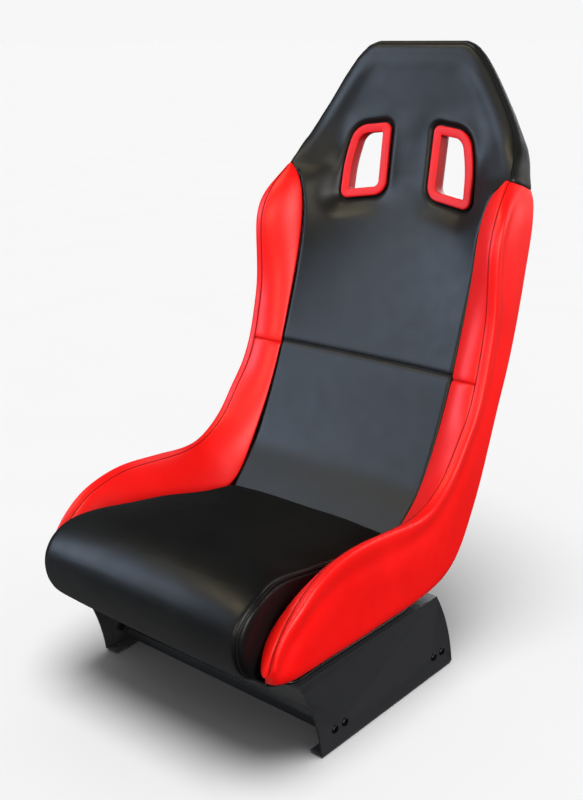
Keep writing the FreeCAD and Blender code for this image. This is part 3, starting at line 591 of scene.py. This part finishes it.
def slot_frame(sign):
    """The matrix from the bezel's own axes (across, up, outwards) to the row frame."""
    toe, lean = sign * SLOT_TOE, SLOT_LEAN
    out = Vector((-math.sin(toe) * math.cos(lean), -math.cos(toe) * math.cos(lean), math.sin(lean)))
    across = Vector((math.cos(toe), -math.sin(toe), 0))
    up = out.cross(across)
    base = Matrix((across, up, out)).transposed().to_4x4()
    return Matrix.Translation((sign * SLOT_MID, SLOT_FACE, SLOT_LEVEL)) @ base


def place_slot(points, sign):
    """Points in the bezel's own axes, moved to the row frame."""
    matrix = np.array(slot_frame(sign))
    return points @ matrix[:3, :3].T + matrix[:3, 3]


def make_ring_loft(name, sign, steps, material):
    """A closed ring lofted through (inset, height) steps round the slot."""
    rings = []
    for inset, high in steps:
        loop = slot_loop(inset * MM, sign)
        rings.append(place_slot(np.column_stack([loop, np.full(len(loop), high * MM)]), sign))
    points = np.vstack(rings + [rings[0]])
    return make_piece(name, points, grid_faces(len(rings) + 1, len(rings[0]), closed=True), material)


# The bezel's section over its face and down the tunnel, and the rear ring's: (inset, height).
BEZEL = ((0.8, -6), (0, -0.5), (0.3, 1.2), (1, 2.3), (2.2, 2.9), (3.6, 3.1), (14, 1.6), (15, 1.2),
         (15.7, 0.4), (16, -0.8), (16, -3), (15.6, -9), (14.6, -18), (13.6, -26.2), (12.6, -27),
         (10.6, -26.2), (10.6, -18), (10.6, -6))
REAR_RING = ((10.2, -22), (10.2, -26.8), (9, -28.2), (-1, -28.6), (-3.4, -28), (-4.2, -26.4), (-4.2, -22))
# The steps of the bezel's section whose faces line the tunnel.
TUNNEL_STEPS = range(8, 13)


def make_bezel(name, sign):
    """Front bezel with rolled edges, its tunnel through the back in a darker red as painted shade, and the
    rear ring.
    """
    bezel = make_ring_loft("%s_slot_bezel_moulding" % name, sign, BEZEL, RED_PLASTIC)
    # The tunnel's faces take the darker red, which is painted shade inside the slot.
    bezel.data.materials.append(SHADED_PLASTIC)
    around = len(slot_loop(0, sign))
    for face in bezel.data.polygons:
        face.material_index = int(face.index // around in TUNNEL_STEPS)
    settle(bezel, "seat", "red_plastic", "%s_slot_bezel" % name)
    ring = make_ring_loft("%s_slot_ring_moulding" % name, sign, REAR_RING, RED_PLASTIC)
    settle(ring, "seat", "red_plastic", "%s_slot_ring" % name)


def step_distance(across, up, start, end):
    """Distance of each point from one straight step, in a flat view."""
    edge = end - start
    t = np.clip(((across - start[0]) * edge[0] + (up - start[1]) * edge[1]) / (edge @ edge), 0, 1)
    return np.hypot(across - start[0] - t * edge[0], up - start[1] - t * edge[1])


def slot_distance(across, up):
    """Signed distance from the slot's outline, below 0 inside, in the head's front view."""
    loop = slot_loop(0, 1)
    nearest = np.full(across.shape, FAR)
    inside = np.zeros(across.shape, bool)
    for start, end in zip(loop, np.roll(loop, -1, axis=0)):
        nearest = np.minimum(nearest, step_distance(across, up, start, end))
        crosses = (start[1] > up) != (end[1] > up)
        run, rise = end - start
        inside ^= crosses & (across < start[0] + (up - start[1]) * run / (rise or TINY))
    return np.where(inside, -nearest, nearest)


# ---------- black back and head cover

HEAD_THREAD = 0.0009
COVER_THICK = 0.003
RIM_RISE, RIM_AT, RIM_WIDE = 0.0038, 0.019, 0.018
CREST_ROUND, CREST_FALL, CREST_FALL_TOP = 0.012, 0.003, 0.002
LAP_ROUND, LAP_FALL = 0.009, 0.007
SEAM_WIDE, SEAM_FINE = 0.006, 0.0015
DISH_REACH, DISH_DEEP, DISH_GROOVE = 0.022, 0.0085, 0.0058


def head_edge_distance(x, z):
    """Distance of each point from the head's outline, seen from the front."""
    outline = BACK[BACK[:, 0] > 0.82][:, [1, 0]]
    outline = np.vstack([outline, [[0, BACK[-1, 0]]]])
    nearest = np.full(x.shape, FAR)
    for start, end in zip(outline[:-1], outline[1:]):
        nearest = np.minimum(nearest, step_distance(np.abs(x), z, start, end))
    return nearest


def back_face(side, level):
    """The front face of the back at a share of its half width and a level: a grid of points."""
    half, middle, edge = cubic(BACK[:, 0], BACK[:, 1:], level).T
    share = np.abs(side)
    head = ease(level, 0.80, 0.90)[:, None]
    bowl = share[None, :] ** 2.2 * (1 - head) + ease(share, 0.45, 1.0)[None, :] * head
    x = side[None, :] * half[:, None]
    z = np.repeat(level[:, None], len(side), axis=1)
    y = middle[:, None] + (edge - middle)[:, None] * bowl
    rim = head_edge_distance(x, z)
    at_top = ease(z, 0.985, 1.03)
    rise = RIM_RISE * (1 - at_top) * bump(rim - RIM_AT, RIM_WIDE)
    fall = (CREST_FALL + CREST_FALL_TOP * at_top) * round_over(rim, CREST_ROUND)
    y = y - ease(z, 0.835, 0.88) * (rise - fall)
    sides = (1 - share)[None, :] * half[:, None]
    y = y + LAP_FALL * round_over(sides, LAP_ROUND) * (1 - ease(z, 0.79, 0.825))
    y = y + 0.0022 * bump(z - SEAM_LEVEL, SEAM_WIDE) + 0.003 * bump(z - SEAM_LEVEL, SEAM_FINE)
    return dish_slots(x, y, z)


def dish_slots(x, y, z):
    """Sinks the cover round each harness slot, and finds how far each point is from the nearest."""
    away = slot_distance(np.abs(x) - SLOT_MID, z - SLOT_LEVEL)
    toe, lean = math.tan(SLOT_TOE), math.tan(SLOT_LEAN)
    seat = SLOT_FACE + lean * (z - SLOT_LEVEL) - toe * (np.abs(x) - SLOT_MID)
    hold = bump(np.maximum(away, 0), DISH_REACH)
    y = y + (seat - 0.0012 - y) * hold
    y = y + DISH_DEEP * bump(np.maximum(away, 0), DISH_GROOVE)
    return x, y, z, away


def open_faces(shape, hidden):
    """A grid's quads, without those whose corners are all hidden."""
    hidden = hidden.ravel()
    return [face for face in grid_faces(*shape) if not all(hidden[k] for k in face)]


def grid_border(rows, columns):
    """The grid's border from the bottom left up, over the top and down the right, as point numbers."""
    left = [(i + 1) * columns - 1 for i in range(rows)]
    top = [(rows - 1) * columns + j for j in range(columns - 2, 0, -1)]
    right = [i * columns for i in range(rows - 1, -1, -1)]
    return left + top + right


def make_back_cover():
    """The black cover: back and head in one, with the cross seam, the slots and the wrapped head rim."""
    level = spread(BACK[0, 0], BACK[-1, 0], 0.006,
                   [(SEAM_LEVEL, 0.014, 0.0008), (SLOT_LEVEL, 0.09, 0.0028), (1.043, 0.02, 0.0022)])
    side = spread(-1, 1, 0.022, [(-1, 0.1, 0.006), (1, 0.1, 0.006), (-0.44, 0.3, 0.014), (0.44, 0.3, 0.014)])
    x, y, z, away = back_face(side, level)
    points = np.column_stack([x.ravel(), y.ravel(), z.ravel()])
    faces = open_faces(x.shape, away < -0.005)
    border = grid_border(*x.shape)
    wrap_points, wrap_faces = wrap_border(points, border, len(points))
    crest = points[[k for k in border if SHOULDER + 0.001 < points[k][2] < HEAD_CORNER]]
    crest = crest + np.array([0, -0.0003, 0])
    for name, sign in SIDES:
        path = crest[crest[:, 0] * sign > 0]
        # The head seam's thread is darker than the cover, as painted shade in its groove.
        make_seam("%s_head_seam" % name, path, HEAD_THREAD, SEAM_BLACK_SHADE, "black_leather")
    points = np.vstack([points, wrap_points])
    cover = make_piece("back_cover", points, faces + wrap_faces, BLACK_LEATHER)
    skin = cover.modifiers.new("skin", "SOLIDIFY")
    skin.thickness = COVER_THICK
    skin.offset = -1
    apply_modifiers(cover)
    settle(cover, "seat", "black_leather", "lower_back_pad", "upper_back_pad", "head_pad")


# The head's rear edge: (level, depth).
HEAD_REAR = np.array([(800, 391), (830, 391), (874, 409), (930, 420), (1000, 425.5), (1050, 430)]) * MM
# The three rings that tuck in behind the head: how far inwards, how far back, and how much evened out.
TUCKS = ((0.006, 0.0012, 18), (0.013, 0.0012, 39), (0.019, -0.002, 57))
# The head's side at the top: how far it stands out, how far behind the crest, and how far it tapers.
HEAD_STAND, HEAD_REACH, HEAD_TAPER = 0.0080, 0.012, 0.009
HEAD_TURN, SHOULDER_TURN = 0.009, 0.015
LEAST_DEPTH = 0.012
SHOULDER_DROP = 0.023
# Below the shoulder the edge hides under the red cover: how far inwards, and how far back.
UNDER_DRAW, UNDER_IN, UNDER_BACK = 0.004, 0.002, 0.014


def wrap_border(points, border, start):
    """Carries the cover's edge over the crest seam, round the head's side and in behind it."""
    edge = points[border]
    ahead = np.roll(edge, -1, axis=0) - np.roll(edge, 1, axis=0)
    ahead[0], ahead[-1] = edge[1] - edge[0], edge[-1] - edge[-2]
    out = unit_rows(np.column_stack([ahead[:, 2], np.zeros(len(edge)), -ahead[:, 0]]))
    out = smooth_rows(out, 6)
    level = edge[:, 2]
    rear = np.interp(level, HEAD_REAR[:, 0], HEAD_REAR[:, 1])
    head = ease(level, SHOULDER - 0.013, SHOULDER - 0.007)
    under = 1 - ease(level, SHOULDER - 0.002, SHOULDER + 0.001)
    low = 1 - ease(level, SHOULDER, SHOULDER + 0.05)
    broad = 1 - ease(level, SHOULDER, SHOULDER + 0.09)
    depth = np.maximum(rear - edge[:, 1], LEAST_DEPTH)
    shares = spread(0, 1, 0.08, [(0, 0.1, 0.02), (1, 0.25, 0.03)])[1:]
    rings = []
    for share in shares:
        from_crest, from_rear = share * depth, (1 - share) * depth
        wide = outer_roll(from_crest, 1.0)[0]
        slim = HEAD_STAND * np.sqrt(np.clip(from_crest / HEAD_REACH, 0, 1)) - HEAD_TAPER * share
        stand = slim + (wide - slim) * broad - UNDER_DRAW * under
        stand -= rear_turn(from_rear, HEAD_TURN) * (1 - broad) + rear_turn(from_rear, SHOULDER_TURN) * broad
        wrapped = edge + out * stand[:, None]
        wrapped[:, 1] = edge[:, 1] + from_crest
        wrapped[:, 2] -= SHOULDER_DROP * share * low
        tucked = edge - out * UNDER_IN
        tucked[:, 1] = edge[:, 1] + share * UNDER_BACK
        rings.append(tucked + (wrapped - tucked) * head[:, None])
    tuck = head * ease(level, SHOULDER - 0.004, SHOULDER + 0.045)
    last = rings[-1]
    for inwards, back, times in TUCKS:
        ring = last - out * inwards * tuck[:, None]
        ring[:, 1] += back * tuck
        rings.append(relax_corners(ring, ease(level, 0.92, 0.98), times))
    return np.vstack(rings), border_faces(border, start, len(rings))


def border_faces(border, start, rings):
    """Quads from the border to the first ring, and from each ring to the next."""
    faces = []
    lower = border
    for ring in range(rings):
        upper = range(start + ring * len(border), start + (ring + 1) * len(border))
        faces += [(lower[k], lower[k + 1], upper[k + 1], upper[k]) for k in range(len(border) - 1)]
        lower = upper
    return faces


def relax_corners(ring, share, times):
    """Evens out a ring of points where its share is above 0, so that it doesn't fold in a corner."""
    for _ in range(times):
        middle = (ring[:-2] + ring[2:]) / 2
        ring[1:-1] += (middle - ring[1:-1]) * 0.5 * share[1:-1, None]
    return ring


def smooth_rows(rows, times):
    """Averages each direction with its neighbours, the given number of times."""
    for _ in range(times):
        middle = (rows[:-2] + 2 * rows[1:-1] + rows[2:]) / 4
        rows = np.vstack([rows[:1], middle, rows[-1:]])
    return unit_rows(rows)


# ---------- shell

SHELL_HALF, RAIL_HALF = 0.231, 0.243
SHELL_WALL = 0.0045
HEAD_MARGIN = 0.011
EDGE_ROLL, EDGE_ROUND, BACK_BOWL = 0.010, 0.020, 0.004
PANEL_RISE = 0.0035
SLOT_DISH, SLOT_DISH_FLAT, SLOT_DISH_REACH, SLOT_SHIFT = 0.0135, 0.006, 0.018, 0.005
SILL_HALF, SILL_LIFT, SILL_TALL = 0.2265, 0.003, 0.022


def shell_half(path):
    """The shell's half width along its side view: wider at the rails, and following the head's taper."""
    depth, level = path.T
    rails = (depth < 0.07) * (1 - ease(depth, 0.05, 0.09)) * ease(depth, -0.25, -0.225)
    half = SHELL_HALF + (RAIL_HALF - SHELL_HALF) * rails
    crown = BACK[BACK[:, 0] > 0.83]
    outline = np.interp(level, crown[:, 0], crown[:, 1]) - HEAD_MARGIN
    return half + (np.minimum(half, outline) - half) * ease(level, 0.785, 0.845)


def shell_depth(path, side, half, away, behind):
    """How far the skin lies inside its side view: rolled edges, a shallow panel, and dishes at the slots."""
    depth, level = path[:, :1], path[:, 1:]
    from_edge = (1 - np.abs(side)) * half
    roll = EDGE_ROLL * round_over(from_edge, EDGE_ROUND) + BACK_BOWL * side ** 2
    panel = ease(from_edge, 0.035, 0.047) * ease(level, 0.36, 0.375) * (1 - ease(level, 0.695, 0.712))
    dish = bump(np.maximum(away - SLOT_DISH_FLAT, 0), SLOT_DISH_REACH) * behind
    return ease(depth, 0.08, 0.16) * roll + PANEL_RISE * panel + SLOT_DISH * dish


def make_shell():
    """The moulded shell's skin: lip, floor and back, with rolled edges and the slots cut through."""
    places = spread(0, 1, 0.008, [(0, 0.02, 0.002), (0.8, 0.08, 0.003), (1, 0.02, 0.002)])
    path = cubic(knots(SHELL), SHELL, places)
    ahead = unit_rows(np.gradient(path, places, axis=0))
    half = shell_half(path)[:, None]
    side = spread(-1, 1, 0.03, [(-1, 0.06, 0.004), (1, 0.06, 0.004),
                                (-0.42, 0.25, 0.014), (0.42, 0.25, 0.014)])[None, :]
    x = side * half
    away = slot_distance(np.abs(x) - SLOT_MID, path[:, 1:] - SLOT_LEVEL + SLOT_SHIFT)
    behind = path[:, :1] > 0.3
    depth = shell_depth(path, side, half, away, behind)
    y = path[:, :1] - ahead[:, 1:] * depth
    z = path[:, 1:] + ahead[:, :1] * depth
    faces = open_faces(x.shape, (away < -0.003) & behind)
    points = np.column_stack([x.ravel(), y.ravel(), z.ravel()])
    for _, sign in SIDES:
        sill = sill_points(path, sign)
        count = len(sill) // 2
        quads = [(k, k + 1, count + k + 1, count + k)[::-sign] for k in range(count - 1)]
        faces += [tuple(len(points) + k for k in quad) for quad in quads]
        points = np.vstack([points, sill])
    shell = make_piece("shell_skin", points, faces, SHELL_BLACK)
    wall = shell.modifiers.new("wall", "SOLIDIFY")
    wall.thickness = SHELL_WALL
    wall.offset = -1
    apply_modifiers(shell)
    settle(shell, "seat", "shell_gelcoat", "seat_shell")


def sill_points(path, sign):
    """The foot of one wing, standing on the shell's floor behind the side cover's lower edge."""
    low = path[(path[:, 0] > -0.25) & (path[:, 0] < 0.17)]
    foot = np.column_stack([np.full(len(low), sign * SILL_HALF), low[:, 0], low[:, 1] + SILL_LIFT])
    return np.vstack([foot, foot + np.array([0, 0, SILL_TALL])])


# ---------- seat cushion

# The cushion's side view from its top rear over the nose to its bottom front, then its underside: (y, z).
CUSHION = np.array([(92, 259), (40, 266), (-30, 277), (-100, 291), (-158, 301), (-210, 308), (-250, 307),
                    (-288, 296), (-316, 276), (-328, 250), (-327, 222), (-317, 195), (-298, 175)]) * MM
UNDERSIDE = np.array([(-266, 169.5), (-230, 168.5), (-150, 168.5), (-50, 168.5), (50, 168.5),
                      (85, 171.5), (92, 180), (93, 220)]) * MM
CUSHION_MIDDLE = np.array([-0.11, 0.225])
CROWN_RISE, CROWN_POWER, CROWN_LEAN = 0.010, 2.4, 0.6
EDGE_DRAW, EDGE_REACH, EDGE_SPAN = 0.006, 0.008, 0.2
AIR_VOXEL, AIR_PRESSURE, AIR_CAP = 0.0045, 4.0, 0.005
AIR_FRAMES = 20
WELT_THREAD, WELT_DEEP, WELT_WIDE, WELT_LIFT = 0.0016, 0.0022, 0.0042, 0.002


def cushion_half(y):
    """The cushion's half width at its seams: straight beside the thighs, narrower to the back."""
    return 0.207 + 0.010 * ease(-y, 0.22, 0.29) - 0.0225 * ease(y, -0.08, 0.10)


def make_cushion():
    """Seat cushion: a wide top panel over the nose, side panels, then air, a fill and sewn seams."""
    over = cubic(knots(CUSHION), CUSHION, np.linspace(0, 1, 90))
    outline = np.vstack([over, UNDERSIDE])
    lean = -CROWN_LEAN * ease(-outline[:, 0], 0.24, 0.31)
    lift = ease(outline[:, 1], 0.19, 0.27)
    rings = []
    for side in np.linspace(-1, 1, 61):
        crown = CROWN_RISE * (1 - abs(side) ** CROWN_POWER)
        ring = outline + crown * np.column_stack([lean, lift])
        draw = EDGE_DRAW * round_over((1 - abs(side)) * EDGE_SPAN, EDGE_REACH)
        ring = ring + draw * unit_rows(CUSHION_MIDDLE - ring)
        rings.append(np.column_stack([side * cushion_half(ring[:, 0]), ring]))
    faces = ring_faces(len(rings), len(outline))
    # The cushion's leather is darker than the back's, as painted shade.
    cushion = make_piece("seat_cushion_cover", np.vstack(rings), faces, CUSHION_SHADED_LEATHER)
    inflate(cushion, AIR_VOXEL, AIR_PRESSURE, AIR_CAP)
    sew_cushion(cushion, over)
    settle(cushion, "cushion", "black_leather", "seat_cushion")


def inflate(piece, voxel, pressure, cap):
    """Remeshes a closed pad, fills it with air as cloth, and keeps the swelling under a cap."""
    remesh = piece.modifiers.new("remesh", "REMESH")
    remesh.mode = "VOXEL"
    remesh.voxel_size = voxel
    apply_modifiers(piece)
    before = read_points(piece)
    cloth = piece.modifiers.new("cloth", "CLOTH")
    cloth.settings.use_pressure = True
    cloth.settings.uniform_pressure_force = pressure
    cloth.settings.effector_weights.gravity = 0
    cloth.settings.quality = 6
    scene = bpy.context.scene
    for number in range(AIR_FRAMES):
        scene.frame_set(number + 1)
    apply_modifiers(piece)
    scene.frame_set(1)
    moved = even_out(piece, read_points(piece) - before, 60)
    size = np.maximum(np.linalg.norm(moved, axis=1), TINY)
    moved *= (cap * np.tanh(size / cap) / size)[:, None]
    write_points(piece, before + moved)
    relax = piece.modifiers.new("relax", "SMOOTH")
    relax.factor = 0.6
    relax.iterations = 6
    finer = piece.modifiers.new("finer", "SUBSURF")
    finer.levels = 1
    apply_modifiers(piece)


def even_out(piece, values, times):
    """Averages each vertex's value with its neighbours', so that only the broad swelling stays."""
    ends = np.zeros(len(piece.data.edges) * 2, dtype=int)
    piece.data.edges.foreach_get("vertices", ends)
    first, second = ends.reshape(-1, 2).T
    share = np.bincount(ends, minlength=len(values))[:, None]
    for _ in range(times):
        around = np.zeros_like(values)
        np.add.at(around, first, values[second])
        np.add.at(around, second, values[first])
        values = 0.5 * values + 0.5 * around / share
    return values


def read_points(piece, what="co"):
    """Each vertex's place, or its normal."""
    values = np.zeros(len(piece.data.vertices) * 3)
    piece.data.vertices.foreach_get(what, values)
    return values.reshape(-1, 3)


def write_points(piece, points):
    """Moves each vertex to its new place."""
    piece.data.vertices.foreach_set("co", points.ravel())
    piece.data.update()


def sew_cushion(piece, over):
    """Draws the two side seams into the filled cushion and lays a welt in each."""
    shape = piece_tree(piece)
    welts = []
    for sign in (-1, 1):
        path = []
        for y, z in over[2:-2]:
            found = shape.find_nearest((sign * (cushion_half(y) + WELT_LIFT), y, z + WELT_LIFT))
            path.append(np.array(found[0]))
        path = np.array(path)
        for _ in range(3):
            path[1:-1] = (path[:-2] + 2 * path[1:-1] + path[2:]) / 4
        welts.append(path)
    points = read_points(piece)
    normals = read_points(piece, "normal")
    for path in welts:
        away = path_distance(points, path)
        points = points - normals * (WELT_DEEP * bump(away, WELT_WIDE))[:, None]
    write_points(piece, points)
    for path, side in zip(welts, ("right", "left")):
        name = "%s_cushion_welt" % side
        make_seam(name, path, WELT_THREAD, CUSHION_SHADED_LEATHER, "black_leather", "cushion")


def piece_tree(piece):
    """A search tree over a piece's faces."""
    work = bmesh.new()
    work.from_mesh(piece.data)
    tree = BVHTree.FromBMesh(work)
    work.free()
    return tree


def path_distance(points, path):
    """How far each point is from a path of straight steps."""
    nearest = np.full(len(points), FAR)
    for start, end in zip(path[:-1], path[1:]):
        edge = end - start
        t = np.clip(((points - start) @ edge) / (edge @ edge), 0, 1)
        nearest = np.minimum(nearest, np.linalg.norm(points - start - t[:, None] * edge, axis=1))
    return nearest


# ---------- CAD nodes that stay

def finish_node(name, material, bevel=0.0):
    """Gives a CAD node its material, and softens its edges where light should catch them."""
    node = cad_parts[name]
    node.data.materials.clear()
    node.data.materials.append(material)
    if bevel:
        soft = node.modifiers.new("soft_edges", "BEVEL")
        soft.width = bevel
        soft.segments = 3
        soft.limit_method = "ANGLE"
        soft.angle_limit = math.radians(40)


def finish_nodes():
    """Gives every CAD node that stays its material."""
    for name, _ in SIDES:
        finish_node("%s_bracket" % name, POWDER_COAT, 0.0009)
        finish_node("%s_crossbar_bolts" % name, BLACK_STEEL)
        finish_node("%s_crossbar_nuts" % name, BLACK_STEEL, 0.0004)
    for name in ("front_crossbar", "rear_crossbar"):
        finish_node(name, POWDER_COAT, 0.0007)
    for name in ("seat_washers", "shell_inserts"):
        finish_node(name, ZINC, 0.0003)
    finish_node("seat_bolts", BLACK_STEEL)
    finish_node("rubber_feet", RUBBER, 0.0006)
    finish_node("cushion_board", PLYWOOD, 0.0005)
    for name in ("hook_strips", "loop_strips"):
        finish_node(name, TAPE)


# ---------- stage, light and camera

FLOOR_REACH = 150.0
WORLD_GREY = 0.93


def make_stage():
    """Pale floor that runs to the horizon, under a pale world that only the camera sees."""
    paint = Paint("studio_floor", grey(0.8), 0.9, Specular_IOR_Level=0.0)
    cloud = paint.texture(NOISE, 3, Detail=4)
    paint.tint(cloud, grey(0.795), grey(0.805))
    steps = np.linspace(-FLOOR_REACH, FLOOR_REACH, 5)
    points = [(x, y, 0.0) for x in steps for y in steps]
    floor = make_piece("studio_floor", points, grid_faces(5, 5), paint.material)
    floor.visible_diffuse = False
    floor.visible_glossy = False
    world = bpy.data.worlds.new("studio")
    bpy.context.scene.world = world
    world.use_nodes = True
    set_inputs(world.node_tree.nodes["Background"], Color=(*grey(WORLD_GREY), 1))
    world.cycles_visibility.diffuse = False
    world.cycles_visibility.glossy = False
    return floor


def link_light(lamp, floor, lights_floor):
    """Lets a lamp light only the floor, or everything but the floor."""
    group = bpy.data.collections.new(lamp.name + "_link")
    group.objects.link(floor)
    group.collection_objects[0].light_linking.link_state = "INCLUDE" if lights_floor else "EXCLUDE"
    lamp.light_linking.receiver_collection = group


def add_lamp(name, kind, place, aim, power, floor, lights_floor=False):
    """A light at its place, turned to its aim."""
    light = bpy.data.lights.new(name, kind)
    lamp = bpy.data.objects.new(name, light)
    bpy.context.scene.collection.objects.link(lamp)
    lamp.location = place
    lamp.rotation_euler = (Vector(aim) - Vector(place)).to_track_quat("-Z", "Y").to_euler()
    light.energy = power
    link_light(lamp, floor, lights_floor)
    return lamp


def add_softbox(name, place, aim, size, power, floor):
    """A rectangular area light."""
    lamp = add_lamp(name, "AREA", place, aim, power, floor)
    lamp.data.shape = "RECTANGLE"
    lamp.data.size, lamp.data.size_y = size
    return lamp


def add_sun(name, place, angle, power, floor, lights_floor=False):
    """A sun aimed at the origin, as wide as an angle in degrees."""
    lamp = add_lamp(name, "SUN", place, (0, 0, 0), power, floor, lights_floor)
    lamp.data.angle = math.radians(angle)


# Softboxes: name, place, width and height, power, colour.
SOFTBOXES = (("front_left_cool", (-1.95, -1.5, 1.4), (1.3, 1.7), 57, (0.64, 0.78, 1.0)),
             ("front_left_warm", (-1.1, -1.1, 3.3), (1.3, 0.8), 38, (1.0, 0.86, 0.55)),
             ("front_warm", (1.0, -3.0, 1.7), (1.0, 1.4), 48, (1.0, 0.92, 0.72)),
             ("right_side", (2.9, -0.9, 1.5), (1.1, 2.2), 100, (1.0, 0.98, 0.95)),
             ("rear", (-0.5, 3.0, 1.3), (1.8, 1.6), 80, (0.95, 0.97, 1.0)),
             ("rear_right", (1.9, 2.3, 1.2), (1.0, 1.4), 24, (1.0, 0.98, 0.95)))
# Suns that light only the floor: name, place, angle, power.
FLOOR_SUNS = (("floor_dome", (0.0, 0.1, 3.0), 140, 0.95),
              ("floor_key", (0.41, -0.45, 3.0), 35, 2.78))
SEAT_MIDDLE = (0, 0.1, 0.5)
BOUNCE_PLACE, BOUNCE_AIM = (-0.45, -0.75, 0.01), (-0.45, -0.75, 1.0)


def make_lights(floor):
    """Softboxes, a fill and a low bounce for the seat, and suns for the floor."""
    for name, place, size, power, color in SOFTBOXES:
        add_softbox(name, place, SEAT_MIDDLE, size, power, floor).data.color = color
    for name, place, angle, power in FLOOR_SUNS:
        add_sun(name, place, angle, power, floor, lights_floor=True)
    add_sun("seat_fill", (0.3, -1.0, 2.0), 170, 0.32, floor)
    bounce = add_softbox("floor_bounce", BOUNCE_PLACE, BOUNCE_AIM, (1.3, 1.1), 1.6, floor)
    bounce.visible_camera = False


# The camera stands in front of the seat's left shoulder, a little above it.
CAMERA_YAW, CAMERA_PITCH, CAMERA_ROLL = math.radians(40.45), math.radians(18.04), math.radians(-0.34)
CAMERA_PLACE = (1.1687, -1.3214, 1.0589)
CAMERA_LENS = 50.33


def make_camera():
    """The camera, at its place and turned by its three angles."""
    camera = bpy.data.cameras.new("camera")
    camera.lens = CAMERA_LENS
    camera.sensor_width = 36
    view = bpy.data.objects.new("camera", camera)
    bpy.context.scene.collection.objects.link(view)
    yaw, pitch = CAMERA_YAW, CAMERA_PITCH
    back = Vector((math.sin(yaw) * math.cos(pitch), -math.cos(yaw) * math.cos(pitch), math.sin(pitch)))
    level = Vector((math.cos(yaw), math.sin(yaw), 0))
    turn = Matrix((level, back.cross(level), back)).transposed()
    view.matrix_world = (Matrix.Translation(CAMERA_PLACE) @ turn.to_4x4()
                         @ Matrix.Rotation(CAMERA_ROLL, 4, "Z"))
    bpy.context.scene.camera = view


make_camera()
make_lights(make_stage())
for side_name, side_sign in SIDES:
    make_side_cover(side_name, side_sign)
    make_bezel(side_name, side_sign)
make_back_cover()
make_shell()
make_cushion()
finish_nodes()
bpy.context.scene.view_settings.view_transform = "Standard"
